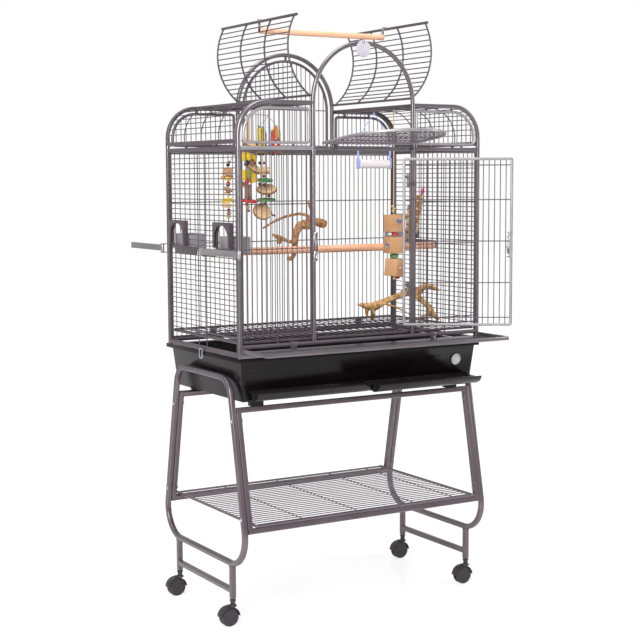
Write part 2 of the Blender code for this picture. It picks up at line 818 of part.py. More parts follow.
def arch_door():
    """Arch door, closed, about its hinge axis at the origin: an upright loop with a round top."""
    y, z = ARCH_AXIS
    across = FRONT - y
    low = MID_RAIL + TUBE + 0.0015 - z
    middle = ARCH_Z - z
    rim = ARCH_DOOR_R - LOOP

    def ring(size, foot):
        return [(-size, foot), (size, foot)] + arc((0, middle), size, 0, 180, 18)

    wires = []
    for x in spread(-ARCH_DOOR_R, ARCH_DOOR_R, PITCH):
        reach = ARCH_DOOR_R - LOOP / 2
        wires.append(((x, low + LOOP / 2), (x, middle + math.sqrt(max(reach**2 - x * x, 0)))))
    bars = [((-rim - LOOP / 2, v), (rim + LOOP / 2, v)) for v in (0.055, 0.1275)]
    panel = planar("Y", across, -1, ring(ARCH_DOOR_R, low), ring(rim, low + LOOP), wires, bars, edge=0.0075)
    leaves = []
    for x in ARCH_HINGES:
        start = x + 0.014 + GAP
        barrel = round_bar((start, 0, 0), (start + 0.014, 0, 0), 0.004, 12)
        leaf = box((start + 0.001, -0.001, 0.0), (start + 0.013, 0.001, low + 0.004))
        web = box((start + 0.001, -0.001, low + 0.001), (start + 0.013, across - 0.002, low + 0.004))
        leaves.append(united(barrel, leaf, web))
    return united(panel, together(*leaves))


def arch_disc():
    """Turning disc that hangs from its screw in front of the arch."""
    front = -HALF_D - GAP
    middle = DISC_Z - DISC_HANG
    disc = round_bar((-0.006, front - 0.002, middle), (-0.006, front, middle), DISC, 28)
    hole = round_bar((-0.006, front - 0.003, DISC_Z), (-0.006, front + 0.001, DISC_Z), 0.0026, 10)
    lug = round_bar((-0.006, front - 0.002, DISC_Z), (-0.006, front, DISC_Z), 0.006, 12)
    return cut(united(disc, lug), hole)


def floor_grate():
    """Grate on the floor of the cage: a flat rim with wires from front to rear and three cross bars."""
    half = HALF_W - TUBE - 0.003
    end = INSIDE_D - 0.0005
    outline = rectangle(-half, half, -end, end)
    hole = rectangle(EDGE - half, half - EDGE, EDGE - end, end - EDGE)
    wires = [((x, EDGE / 2 - end), (x, end - EDGE / 2)) for x in spread(-half, half, PITCH * 1.5)]
    bars = [((EDGE / 2 - half, y), (half - EDGE / 2, y)) for y in (-0.11, 0.0, 0.11)]
    return planar("Z", GRATE_Z + PANEL / 2, 1, outline, hole, wires, bars)


def long_perch():
    """Dowel across the cage, bolted through both side panels between their wires."""
    end = SIDE + 0.0018 - WIRE - GAP
    dowel = round_bar((-end, 0, PERCH_Z), (end, 0, PERCH_Z), PERCH_R, 16)
    face = SIDE + 0.0018 + WIRE + GAP
    bolts = []
    washers = []
    for s in (-1, 1):
        inner, outer = s * (end - 0.003), s * (HALF_W + 0.003)
        bolts.append(round_bar((inner, 0, PERCH_Z), (outer, 0, PERCH_Z), 0.003, 8))
        washers.append(round_bar((s * face, 0, PERCH_Z), (s * (face + 0.0015), 0, PERCH_Z), 0.009, 12))
    return united(dowel, together(*bolts), together(*washers))


def top_perch():
    """Dowel between the open flaps, hung from both free bars."""
    x, z = flap_end()
    low = z - 0.024
    inner = x - FLAP_BAR - GAP
    dowel = round_bar((-inner + 0.0, 0, low), (inner, 0, low), TOP_PERCH_R, 16)
    straps = []
    for side in (-1, 1):
        a, b = sorted((side * inner, side * (inner - 0.003)))
        straps.append(box((a, -0.006, low - 0.004), (b, 0.006, z + 0.006)))
    return united(dowel, together(*straps))


def feeder_cup(y):
    """Right feeder cup: an open box that fills the lower half of its window from inside."""
    back = SIDE - 0.005 - GAP
    top = WINDOW_Z + CUP_UP
    half = WINDOW_W / 2 - 0.003
    wall = 0.0025
    outer = box((back - CUP_DEEP, y - half, top - CUP_H), (back, y + half, top))
    low = (back - CUP_DEEP + wall, y - half + wall, top - CUP_H + wall)
    return cut(outer, box(low, (back - wall, y + half - wall, top + 0.01)))


def swing_arm(pivot_y, way):
    """Right swing arm closed along the side, with a hook at its end; way is its direction along Y."""
    x = PIVOT_X
    low, high = ARM_Z, ARM_Z + ARM_H
    barrel = round_bar((x, pivot_y, low), (x, pivot_y, high), 0.005, 12)
    a, b = sorted((pivot_y, pivot_y + way * ARM_LONG))
    bar = box((x - ARM_T / 2, a, low + 0.003), (x + ARM_T / 2, b, high - 0.001))
    tip = pivot_y + way * ARM_LONG
    c, d = sorted((tip, tip - way * 0.006))
    hook = box((x - 0.001, c, high - 0.012), (x + 0.008, d, high - 0.003))
    return united(barrel, bar, hook)


def tub():
    """Tapered base tub with its flange, feet, front opening for the trays and the rib between them."""
    top, foot = TUB_TOP, TUB_FOOT
    high = (TUB_W / 2, TUB_D / 2)
    low = (TUB_W / 2 - TUB_TAPER, TUB_D / 2 - TUB_TAPER)
    wall = TUB_WALL
    body = tapered(low, high, foot, top - FLANGE / 2)
    flange = box((-HALF_W, -HALF_D, top - FLANGE), (HALF_W, HALF_D + 0.0105, top))
    body = united(body, flange, together(*tub_feet(foot)))
    hollow = tapered(
        (low[0] - wall, low[1] - wall), (high[0] - wall, high[1] - wall), foot + wall, top + 0.01
    )
    slots = []
    sill, head = foot + wall, foot + wall + TRAY_SLOT
    for left, right in tray_spans():
        slots.append(box((left - 0.003, -HALF_D - 0.02, sill), (right + 0.003, 0, head)))
    body = cut(body, hollow, together(*slots))
    thin, front = 0.0012, -TUB_D / 2 + 0.013
    rib = box((TRAY_SPLIT - thin, front, foot + 0.001), (TRAY_SPLIT + thin, low[1] - 0.002, foot + 0.028))
    return united(body, rib)


def side_rail_top():
    """Highest point of the stand rails that the tub stands on."""
    lean = math.atan(SPLAY)
    half = STAND_TUBE / 2
    return SIDE_TOP + half * math.cos(lean) + half * math.sin(lean)


def tub_feet(foot):
    y = leg_y(SIDE_TOP)
    low = side_rail_top() + GAP
    return [
        box((x - 0.02, s * y - 0.009, low), (x + 0.02, s * y + 0.009, foot + 0.002))
        for x in (-TUB_FOOT_X, TUB_FOOT_X)
        for s in (-1, 1)
    ]


def tray_spans():
    """Left and right edges of the two trays."""
    left, right = TRAY_SPLIT - 0.004, TRAY_SPLIT + 0.004
    return (left - TRAY_W, left), (right, right + TRAY_W - 0.008)


def tray(left, right, pulled):
    """Shallow tray pulled out this far, with a curved scoop for a lip."""
    foot = TUB_FOOT + TUB_WALL + GAP
    height = 0.020
    wall = 0.0025
    front = -(TUB_D / 2 - TUB_TAPER) - 0.002 - pulled
    back = TUB_D / 2 - TUB_TAPER - TUB_WALL - 0.004 - pulled
    body = box((left + 0.002, front - 0.004, foot), (right - 0.002, back, foot + height))
    side = 0.002 + wall
    low, high = (left + side, front + wall, foot + wall), (right - side, back - wall, foot + height + 0.01)
    body = cut(body, box(low, high))
    deep, tall = 0.038, 0.027
    base = TUB_FOOT + 0.0005
    nose = arc((front, base + tall), deep, 180, 270, 8)
    inner = arc((front, base + tall), deep - 0.0035, 270, 180, 8)
    scale = (tall - 0.002) / deep
    profile = [(u, base + tall + (v - base - tall) * scale) for u, v in nose + inner]
    lip = flat([profile[::-1]], right - left, "X", (left + right) / 2)
    web = box((left + 0.001, front - 0.006, base + 0.0028), (right - 0.001, front + 0.001, foot + height))
    return united(body, web, lip)


def badge():
    """Blank round plate on the tub's sloping front."""
    slope = math.atan(TUB_TAPER / TUB_H)
    z = TUB_FOOT + 0.072
    y = -(TUB_D / 2 - TUB_TAPER + TUB_TAPER * 0.072 / (TUB_H + FLANGE / 2))
    disc = round_bar((0, 0, -0.001), (0, 0, 0.001), BADGE, 28)
    turn = Matrix.Rotation(math.radians(90) + slope, 4, "X")
    return moved(disc, Matrix.Translation((0.329, y - 0.001 - 2 * GAP, z)) @ turn)


def apron():
    """Seed apron: a sheet with its edges turned up and two hooks over the front rail."""
    back = -HALF_D - GAP
    front = back - APRON_D
    half = APRON_W / 2
    low, top = APRON_Z, APRON_Z + SHEET
    sheet = box((-half, front, low), (half, back, top))
    rear = box((-half, back - SHEET, CAGE_FOOT + 0.001), (half, back, top - 0.0002))
    lips = [
        box((-half, front, low + 0.0003), (half, front + SHEET, low + LIP)),
        box((-half, front + SHEET / 2, low + 0.0004), (SHEET - half, back, low + LIP - 0.0004)),
        box((half - SHEET, front + SHEET / 2, low + 0.0004), (half, back, low + LIP - 0.0004)),
    ]
    rail_top = FRONT_RAIL + TUBE + GAP
    inner = -HALF_D + TUBE - 0.002
    hooks = []
    for x in (-0.235, 0.235):
        riser = box((x - 0.01, back - SHEET, low + 0.0006), (x + 0.01, back, rail_top + SHEET))
        over = box((x - 0.01, back - SHEET / 2, rail_top), (x + 0.01, inner, rail_top + SHEET))
        hooks.append(united(riser, over))
    return united(sheet, rear, lips[0], lips[1], lips[2], together(*hooks))


def leg_y(z):
    """Distance of the stand's leg from the middle at this height."""
    return LEG_Y + SPLAY * (LEG_Z - z)


def stand_end():
    """Right end frame: a bent loop of square tube on two castor posts with a cross rail."""
    half = STAND_TUBE / 2
    top, low = leg_y(STAND_TOP), leg_y(STAND_LOW)
    corners = [(-low, STAND_LOW), (low, STAND_LOW), (top, STAND_TOP), (-top, STAND_TOP)]
    radii = [LOW_BEND, LOW_BEND, TOP_BEND, TOP_BEND]
    edges = [rounded(corners, radii, grow, 8) for grow in (half, -half)]
    loop = flat(edges, STAND_TUBE, "X", STAND_X)
    posts = []
    for y in (-POST_Y, POST_Y):
        post = (STAND_X - half + 0.0002, y - half, POST_FOOT)
        posts.append(box(post, (STAND_X + half - 0.0002, y + half, STAND_LOW)))
    rail = box(
        (STAND_X - half + 0.0005, -POST_Y, CROSS_Z - half),
        (STAND_X + half - 0.0005, POST_Y, CROSS_Z + half),
    )
    return united(loop, united(together(*posts), rail))


def stand_side():
    """Front frame of the stand, leaning with the legs, built upright about the middle of its height."""
    outer = STAND_X - STAND_TUBE / 2 - GAP
    inner = outer - STAND_TUBE
    middle = (SIDE_TOP + SIDE_LOW) / 2
    scale = 1 / math.cos(math.atan(SPLAY))
    high = (SIDE_TOP - middle) * scale
    half = STAND_TUBE / 2
    loops = [
        rectangle(-outer, outer, -high - half, high + half),
        rectangle(-inner, inner, -high + half, high - half),
    ]
    frame = flat(loops, STAND_TUBE, "Y", 0)
    lean = Matrix.Rotation(math.atan(SPLAY), 4, "X")
    return moved(frame, Matrix.Translation((0, -leg_y(middle), middle)) @ lean.inverted())


def shelf():
    """Shelf grille on the lower rails: rods from end to end over cross bars, between round end rails."""
    lean = math.atan(SPLAY)
    half = STAND_TUBE / 2
    foot = SIDE_LOW + half * (math.cos(lean) + math.sin(lean)) + GAP
    end_x = STAND_X - STAND_TUBE / 2 - STAND_TUBE - 0.006
    end_y = leg_y(SIDE_LOW) + 0.0085
    z = foot + 0.004
    side = end_x - 0.004
    ends = rods([[(x, -end_y, z), (x, end_y, z)] for x in (-side, side)], 0.004, 1)
    wires = [
        [(-side, y, z + 0.0008), (side, y, z + 0.0008)]
        for y in spread(-end_y - 0.006, end_y + 0.006, 0.0205)
    ]
    lines = together(rods(wires, 0.0016))
    deep = end_y - 0.002
    bars = rods([[(x, -deep, z - 0.0026), (x, deep, z - 0.0026)] for x in SHELF_BARS], 0.0014)
    deep = end_y - 0.003
    rims = rods([[(-side, y, z - 0.0006), (side, y, z - 0.0006)] for y in (-deep, deep)], 0.0032)
    return united(ends, lines, united(rims, bars))


def castor_hood():
    """Castor hood about its swivel axis, trailing towards -X, with a stem, a web and a cover."""
    x = -TRAIL
    cover = flat([ribbon(arc((x, WHEEL), WHEEL + 0.0025, 8, 172, 9), 0.0022)], 2 * WHEEL_W + 0.010, "Y", 0)
    web_shape = [(x - 0.008, WHEEL - 0.006), (x + 0.008, WHEEL - 0.006)]
    web_shape += arc((x, WHEEL), WHEEL + 0.002, 25, 155, 4)
    web = flat([web_shape], 0.0056, "Y", 0)
    cap = round_bar((0, 0, WHEEL * 2 + 0.0012), (0, 0, POST_FOOT - 0.010), 0.010, 10)
    stem = round_bar((0, 0, POST_FOOT - 0.012), (0, 0, POST_FOOT - GAP), 0.0055, 8)
    neck = box((x - 0.004, -0.007, WHEEL * 2 + 0.001), (0.004, 0.007, WHEEL * 2 + 0.008))
    bore = round_bar((x, -0.02, WHEEL), (x, 0.02, WHEEL), AXLE + GAP, 12)
    hood = united(cover, web, neck, cap, stem)
    return cut(hood, bore)


def castor_wheels():
    """Twin wheels on one axle, about the axle."""
    inner = 0.0028 + GAP * 2
    turn = Matrix.Translation((0, 0, 0))
    wheels = [
        round_bar((0, s * inner, 0), (0, s * (inner + WHEEL_W), 0), WHEEL, 20) for s in (-1, 1)
    ]
    axle = round_bar((0, -inner - 0.004, 0), (0, inner + 0.004, 0), AXLE - GAP / 2, 10)
    return moved(united(together(*wheels), axle), turn)


def hanger(x, y, top, half=0.004):
    """Round pin that a hanging piece turns on, just under what carries it."""
    return round_bar((x - half, y, top - PIN), (x + half, y, top - PIN), PIN, 8)


def swing():
    """Roller swing on a bent wire bail, about its hook."""
    left, right = 0.122, 0.236
    top = BEAM_HANG
    low, bend = top - SWING_DROP, top - 0.0797
    line = [(left, low), (left, bend), (0.178, top - 0.006), (right, bend), (right, low)]
    bail = rods([[(x, 0, z) for x, z in line]], 0.0015)
    roller = round_bar((left - 0.006, 0, low + 0.001), (right + 0.004, 0, low + 0.001), 0.018, 12)
    hook = box((0.1765, -0.0012, top - 0.009), (0.1795, 0.0012, top - PIN))
    return united(roller, bail, hook, hanger(0.178, 0, top))


ROOF_HANG = TOP - 0.0072 - GAP
PIN = 0.0015
BEAM_HANG = TOP - TUBE - GAP
WIRE_HANG = TOP - 0.0024 - WIRE - GAP
BLOCK_TOY_Y = -0.060
SWING_DROP = 0.1587


def block_toy():
    """Wooden blocks threaded on a cord, about the point where it hangs."""
    x, y = 0.211, BLOCK_TOY_Y
    shape = round_bar((x, y, TOP - 0.510), (x, y, WIRE_HANG - 2.4 * PIN), 0.0035, 6)
    tie = box((x - 0.002, y - 0.0012, WIRE_HANG - 3 * PIN), (x + 0.002, y + 0.0012, WIRE_HANG - PIN))
    shape = united(shape, tie, hanger(x, y, WIRE_HANG, 0.010))
    drops = ((0.518, 0.462, 0.031), (0.460, 0.418, 0.024), (0.416, 0.376, 0.027), (0.374, 0.312, 0.022))
    for low, high, half in drops:
        shape = united(shape, box((x - half, y - half, TOP - low), (x + half, y + half, TOP - high)))
    return shape


def cluster_toy():
    """Large hanging toy of wooden discs and strips at the left, about the point where it hangs."""
    x = -0.262
    shape = round_bar((x, 0, TOP - 0.292), (x, 0, ROOF_HANG - 2.4 * PIN), 0.004, 6)
    tie = box((x - 0.002, -0.0012, ROOF_HANG - 3 * PIN), (x + 0.002, 0.0012, ROOF_HANG - PIN))
    shape = united(shape, tie, hanger(x, 0, ROOF_HANG))
    lumps = (
        (-0.262, 0.067, (0.045, 0.035, 0.022)),
        (-0.270, 0.127, (0.062, 0.045, 0.030)),
        (-0.255, 0.187, (0.068, 0.045, 0.030)),
        (-0.275, 0.247, (0.070, 0.040, 0.026)),
        (-0.245, 0.294, (0.055, 0.035, 0.022)),
    )
    for across, drop, size in lumps:
        shape = united(shape, ball((across, 0, TOP - drop), size))
    return shape


def perch_branch():
    """Forked natural branch that stands on the long perch."""
    y = 0.0
    top = PERCH_Z + PERCH_R + GAP
    z = PERCH_Z
    line = [(-0.115, y, top), (-0.115, y, z + 0.044), (-0.095, y + 0.004, z + 0.074), (-0.040, y, z + 0.094)]
    trunk = rods([line], 0.0075, 1)
    line = [(-0.110, y, z + 0.039), (-0.150, y - 0.01, z + 0.057), (-0.190, y - 0.02, z + 0.051)]
    left = rods([line], 0.006, 1)
    line = [(-0.090, y, z + 0.077), (-0.050, y + 0.01, z + 0.129), (-0.020, y + 0.015, z + 0.164)]
    right = rods([line], 0.0055, 1)
    return united(trunk, left, right)


def floor_branch():
    """Branching piece of driftwood that stands on the grate."""
    foot = GRATE_Z + PANEL + GAP
    low = foot + 0.012
    line = [(0.130, 0.862), (0.190, 0.872), (0.260, 0.880), (0.330, 0.905), (0.372, 0.940)]
    trunk = rods([[(x, 0.0, z) for x, z in line]], 0.010, 1)
    line = [(0.290, 0.0, 0.885), (0.300, -0.01, 0.840), (0.316, -0.015, low), (0.316, -0.015, foot)]
    leg = rods([line], 0.008, 1)
    line = [(0.200, 0.0, 0.872), (0.190, 0.03, 0.835), (0.182, 0.045, low), (0.182, 0.045, foot)]
    other = rods([line], 0.007, 1)
    twig = rods([[(0.300, 0.0, 0.892), (0.345, 0.02, 0.870), (0.380, 0.03, 0.872)]], 0.006, 1)
    return united(trunk, leg, other, twig)


def leaf_toy():
    """Bunch of leaves hung inside the right side, about the point where it hangs."""
    top = leaf_hang()
    shape = round_bar((LEAF_X, 0, TOP - 0.292), (LEAF_X, 0, top - 2.4 * PIN), 0.002, 6)
    tie = box((LEAF_X - 0.001, -0.001, top - 3 * PIN), (LEAF_X + 0.001, 0.001, top - PIN))
    shape = united(shape, tie, hanger(LEAF_X, 0, top, 0.002))
    for drop, size in ((0.277, (0.024, 0.034, 0.045)), (0.349, (0.028, 0.034, 0.050))):
        shape = united(shape, ball((LEAF_X, 0.026, TOP - drop), size))
    return shape


LEAF_X = 0.352


def leaf_hang():
    """Height of the underside of the roof's middle rib above the leaf toy."""
    over = LEAF_X - (HALF_W - CORNER)
    radius = CORNER - 0.0072 - 2 * GAP
    return TOP - CORNER + math.sqrt(radius * radius - (over + 0.0025) ** 2)


def build_stand():
    end = stand_end()
    part("stand_end_left", mirrored(end), MAUVE)
    part("stand_end_right", end, MAUVE)
    side = stand_side()
    part("stand_frame_rear", moved(side, Matrix.Scale(-1, 4, (0, 1, 0))), MAUVE)
    part("stand_frame_front", side, MAUVE)
    part("shelf_grille", shelf(), MAUVE)
    hood, wheels = castor_hood(), castor_wheels()
    for name, side_x, side_y in (
        ("front_left", -1, -1),
        ("front_right", 1, -1),
        ("rear_left", -1, 1),
        ("rear_right", 1, 1),
    ):
        spot = Vector((side_x * STAND_X, side_y * POST_Y, 0))
        fork = part("castor_hood_" + name, hood.copy(), RUBBER, smooth=True)
        fork.location = spot
        pair = part("castor_wheels_" + name, wheels.copy(), RUBBER, smooth=True)
        pair.location = spot + Vector((-TRAIL, 0, WHEEL))


def build_base():
    part("base_tub", tub(), BLACK)
    for name, (left, right), pulled in zip(("tray_left", "tray_right"), tray_spans(), TRAY_OUT):
        part(name, tray(left, right, pulled), BLACK)
    part("badge_blank", badge(), STEEL, smooth=True)
    part("seed_apron", apron(), MAUVE)
    latch = base_latch()
    pivot = (HALF_W + 0.0036, 0, LATCH_Z)
    part("base_latch_left", mirrored(latch), STEEL, pivot=(-pivot[0], 0, LATCH_Z))
    part("base_latch_right", latch, STEEL, pivot=pivot)


def build_cage():
    part("front_frame", front_frame(), MAUVE)
    part("rear_frame", rear_frame(), MAUVE)
    part("floor_grate", floor_grate(), MAUVE)
    grille = front_grille()
    part("front_grille_left", mirrored(grille), MAUVE)
    part("front_grille_right", grille, MAUVE)
    back = framed(-INSIDE_W, INSIDE_W, REAR_RAIL + TUBE + GAP, MID_RAIL - GAP, REAR, 1, (1.048, 1.170))
    part("back_grille", back, MAUVE)
    for name, y, facing in (("front", FRONT, -1), ("rear", REAR, 1)):
        side = gable(y, facing)
        part("gable_" + name + "_left", mirrored(side), MAUVE)
        part("gable_" + name + "_right", side, MAUVE)
    part("gable_rear_middle", rear_arch_grille(), MAUVE)
    part("side_panel_left", mirrored(side_panel(WINDOW_Y)), MAUVE)
    part("side_panel_right", side_panel(WINDOW_Y[1:]), MAUVE)
    shoulder = roof()
    part("roof_left", mirrored(shoulder), MAUVE)
    part("roof_right", shoulder, MAUVE)


def build_doors():
    door = part("front_door", front_door(), MAUVE)
    latch = part("door_latch", door_latch(), TOY_BLUE)
    for obj in (door, latch):
        obj.location = (*DOOR_AXIS, 0)
        obj.rotation_euler.z = math.radians(DOOR_OPEN)
    arch = part("arch_door", arch_door(), MAUVE)
    arch.location = (0, *ARCH_AXIS)
    arch.rotation_euler.x = math.radians(ARCH_DOOR_OPEN)
    part("arch_disc", arch_disc(), STEEL, pivot=(-0.006, -HALF_D, DISC_Z), smooth=True)
    right = flap()
    pivot = (FLAP_AXIS[0], 0, FLAP_AXIS[1])
    part("flap_left", mirrored(right), MAUVE, pivot=(-pivot[0], 0, pivot[2]))
    part("flap_right", right, MAUVE, pivot=pivot)
    part("top_perch", top_perch(), WOOD, pivot=(-pivot[0], 0, pivot[2]), smooth=True)


def build_feeders():
    for name, y, pivot_y, way in (
        ("front", WINDOW_Y[0], FRONT_PIVOT, 1),
        ("rear", WINDOW_Y[1], REAR_PIVOT, -1),
    ):
        cup = feeder_cup(y)
        part("feeder_cup_" + name + "_left", mirrored(cup), CUP_GREY)
        arm = swing_arm(pivot_y, way)
        left = part("swing_arm_" + name + "_left", mirrored(arm), MAUVE, pivot=(-PIVOT_X, pivot_y, 0))
        if name == "rear":
            left.rotation_euler.z = math.radians(180)
            part("feeder_cup_rear_right", cup, CUP_GREY)
            part("swing_arm_rear_right", arm, MAUVE, pivot=(PIVOT_X, pivot_y, 0))


def build_fittings():
    part("long_perch", long_perch(), WOOD, smooth=True)
    part("roller_swing", swing(), TOY_BLUE, pivot=(0, 0, BEAM_HANG - PIN))
    part("block_toy", block_toy(), BARK, pivot=(0, BLOCK_TOY_Y, WIRE_HANG - PIN))
    part("cluster_toy", cluster_toy(), TOY_MIX, pivot=(0, 0, ROOF_HANG - PIN), smooth=True)
    part("leaf_toy", leaf_toy(), LEAF, pivot=(0, 0, leaf_hang() - PIN), smooth=True)
    part("perch_branch", perch_branch(), BARK, smooth=True)
    part("floor_branch", floor_branch(), BARK, smooth=True)


def centre_on_floor():
    """Put the middle of everything over the origin."""
    bpy.context.view_layer.update()
    corners = []
    for obj in PARTS.objects:
        if obj.type == "MESH":
            corners += [obj.matrix_world @ vertex.co for vertex in obj.data.vertices]
    for axis in (0, 1):
        values = [corner[axis] for corner in corners]
        ORIGIN.location[axis] = -(min(values) + max(values)) / 2
    ORIGIN.location[2] = -min(corner[2] for corner in corners)


build_stand()
build_base()
build_cage()
build_doors()
build_feeders()
build_fittings()
centre_on_floor()
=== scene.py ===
# %% [markdown]
# Play-top bird cage on a castored stand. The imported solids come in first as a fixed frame, and each piece
# below is then made in finer form in the place that its solid holds.

# %% Load the frame
import math

import bpy
from mathutils import Matrix, Vector


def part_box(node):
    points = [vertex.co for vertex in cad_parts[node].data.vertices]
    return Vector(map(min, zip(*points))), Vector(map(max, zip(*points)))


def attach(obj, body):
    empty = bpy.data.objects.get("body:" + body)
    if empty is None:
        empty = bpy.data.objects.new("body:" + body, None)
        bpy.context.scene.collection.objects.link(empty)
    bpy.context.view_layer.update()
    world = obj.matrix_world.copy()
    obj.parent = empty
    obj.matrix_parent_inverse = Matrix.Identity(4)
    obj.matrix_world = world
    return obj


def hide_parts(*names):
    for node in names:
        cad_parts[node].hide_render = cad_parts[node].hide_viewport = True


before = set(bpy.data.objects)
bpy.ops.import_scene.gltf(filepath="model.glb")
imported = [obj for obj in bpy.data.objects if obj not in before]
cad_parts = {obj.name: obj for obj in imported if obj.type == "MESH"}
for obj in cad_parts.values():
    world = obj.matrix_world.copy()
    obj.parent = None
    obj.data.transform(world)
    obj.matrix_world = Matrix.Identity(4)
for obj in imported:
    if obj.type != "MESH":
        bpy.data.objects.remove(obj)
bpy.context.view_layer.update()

# %% [markdown]
# The frame is centred over everything, the open door and the pulled trays too, so the cage's own middle
# stands a little off. The back grille and a side panel are even about the cage's middle, and give the shift.

# %% Where the cage's own middle stands
low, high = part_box("back_grille")
middle_x = (low.x + high.x) / 2
low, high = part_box("side_panel_right")
MIDDLE = Matrix.Translation((middle_x, (low.y + high.y) / 2, 0))

# %% [markdown]
# The camera stands where a fit of the photographed cage puts it: front left, a little above the cage's
# middle, with a long lens. Its three axes come straight from that fit.

# %% Camera
CAMERA_AT = (-2.153481, -3.580150, 1.238785)
RIGHT = (0.85828302, -0.51316311, -0.00372474)
UP = (0.05418576, 0.08340515, 0.99504145)
AHEAD = (0.5103079, 0.85422901, -0.09939136)
FOCAL = 1415.754 / 640

bpy.ops.object.camera_add()
camera = bpy.context.object
camera.name = "camera"
camera.data.sensor_width = 36
camera.data.lens = FOCAL * 36
axes = Matrix((RIGHT, UP, [-v for v in AHEAD])).transposed().to_4x4()
camera.matrix_world = Matrix.Translation(CAMERA_AT) @ axes
camera.data.clip_start = 0.1
camera.data.clip_end = 60
bpy.context.scene.camera = camera

# %% [markdown]
# Sizes of the real cage, in metres. Every piece below takes its place from these.

# %% Sizes
GAP = 0.0003
TUBE = 0.012
WIRE = 0.0013
BAR = 0.0015
PITCH = 0.0159
ROW_PITCH = 0.01437
PANEL = 0.007
EDGE = 0.004
LOOP = 0.008
CAGE_W = 0.810
CAGE_D = 0.457
CAGE_FOOT = 0.7528
FRONT_RAIL = 0.777
REAR_RAIL = 0.758
MID_RAIL = 1.3155
TOP = 1.452
CORNER = 0.095
ARCH = 0.172
ARCH_RISE = 0.003
SLOT = 0.022
CROSS_BARS = (0.831, 1.048, 1.170)
HALF_W = CAGE_W / 2
HALF_D = CAGE_D / 2
ARCH_Z = TOP - ARCH_RISE
INSIDE_W = HALF_W - TUBE - GAP
INSIDE_D = HALF_D - TUBE - GAP
FRONT = -HALF_D + TUBE / 2
REAR = HALF_D - TUBE / 2
SIDE = HALF_W - TUBE / 2

# %% [markdown]
# Outlines are plain lists of points. An arc, a rounded outline and even steps between two edges are enough
# for every frame and grille here.

# %% Points and outlines
def arc(centre, radius, start, end, steps):
    """Points along an arc, angles in degrees."""
    angles = [math.radians(start + (end - start) * i / steps) for i in range(steps + 1)]
    return [(centre[0] + radius * math.cos(a), centre[1] + radius * math.sin(a)) for a in angles]


def rectangle(left, right, foot, top):
    return [(left, foot), (right, foot), (right, top), (left, top)]


def rounded(corners, radii, grow=0.0, steps=8):
    """Anticlockwise outline with rounded corners, moved out by grow all the way round."""
    outline = []
    for i, corner in enumerate(corners):
        here = Vector(corner)
        before = (here - Vector(corners[i - 1])).normalized()
        after = (Vector(corners[(i + 1) % len(corners)]) - here).normalized()
        out_a, out_b = Vector((before.y, -before.x)), Vector((after.y, -after.x))
        here = here + (out_a + out_b) / (1 + out_a.dot(out_b)) * grow
        if radii[i] <= 0:
            outline.append(tuple(here))
            continue
        turn = math.atan2(before.x * after.y - before.y * after.x, before.dot(after))
        radius = radii[i] + grow
        centre = here - before * radius * math.tan(turn / 2) - out_a * radius
        start = math.degrees(math.atan2(out_a.y, out_a.x))
        outline += arc(centre, radius, start, start + math.degrees(turn), steps)
    return outline


def spread(low, high, pitch):
    """Even positions between two edges, without the edges."""
    count = max(2, round((high - low) / pitch))
    return [low + (high - low) * i / count for i in range(1, count)]


def along(line, pitch, skip):
    """Points at even steps along a line."""
    lengths = [0.0]
    for a, b in zip(line, line[1:]):
        lengths.append(lengths[-1] + math.dist(a, b))
    found = []
    for target in spread(skip, lengths[-1] - skip, pitch):
        i = max(k for k in range(len(line) - 1) if lengths[k] <= target)
        share = (target - lengths[i]) / (lengths[i + 1] - lengths[i])
        a, b = line[i], line[i + 1]
        found.append((a[0] + (b[0] - a[0]) * share, a[1] + (b[1] - a[1]) * share))
    return found


def flipped(outline):
    return [(-u, v) for u, v in outline[::-1]]


FACING = {
    "X": Matrix(((0, 0, 1, 0), (1, 0, 0, 0), (0, 1, 0, 0), (0, 0, 0, 1))),
    "Y": Matrix(((1, 0, 0, 0), (0, 0, -1, 0), (0, 1, 0, 0), (0, 0, 0, 1))),
    "Z": Matrix.Identity(4),
}


def place(plane, u, v, across):
    """Point at u and v in the plane square to this axis, this far along the axis."""
    return {"X": (across, u, v), "Y": (u, across, v), "Z": (u, v, across)}[plane]

# %% [markdown]
# An operator acts on whatever is selected, so a piece is always picked out alone first. A finished piece
# keeps its object at the origin and its place in its mesh.

# %% Picking out, joining and placing pieces
CAGE = "cage_and_stand"
MIRROR = Matrix.Scale(-1, 4, (1, 0, 0))
BACKWARD = Matrix.Scale(-1, 4, (0, 1, 0))


def alone(*objs):
    bpy.ops.object.select_all(action="DESELECT")
    for obj in objs:
        obj.select_set(True)
    bpy.context.view_layer.objects.active = objs[0]


def joined(*objs):
    alone(*objs)
    if len(objs) > 1:
        bpy.ops.object.join()
    return bpy.context.view_layer.objects.active


def meshed(obj):
    alone(obj)
    bpy.ops.object.convert(target="MESH")
    return bpy.context.view_layer.objects.active


def outward(obj):
    """Merge doubles and turn all faces out."""
    alone(obj)
    bpy.ops.object.mode_set(mode="EDIT")
    bpy.ops.mesh.select_all(action="SELECT")
    bpy.ops.mesh.remove_doubles(threshold=0.000005)
    bpy.ops.mesh.normals_make_consistent(inside=False)
    bpy.ops.object.mode_set(mode="OBJECT")
    return obj


def moved(obj, matrix):
    obj.matrix_world = matrix @ obj.matrix_world
    alone(obj)
    bpy.ops.object.transform_apply(location=True, rotation=True, scale=True)
    return outward(obj) if matrix.determinant() < 0 else obj


def copied(obj):
    twin = obj.copy()
    twin.data = obj.data.copy()
    bpy.context.collection.objects.link(twin)
    return twin


def mirrored(obj):
    return moved(copied(obj), MIRROR)


def painted(obj, paint):
    obj.data.materials.clear()
    obj.data.materials.append(paint)
    return obj


def assembled(*groups):
    """Join groups of parts. Each group names its finish first."""
    return joined(*[painted(part, paint) for paint, *parts in groups for part in parts])


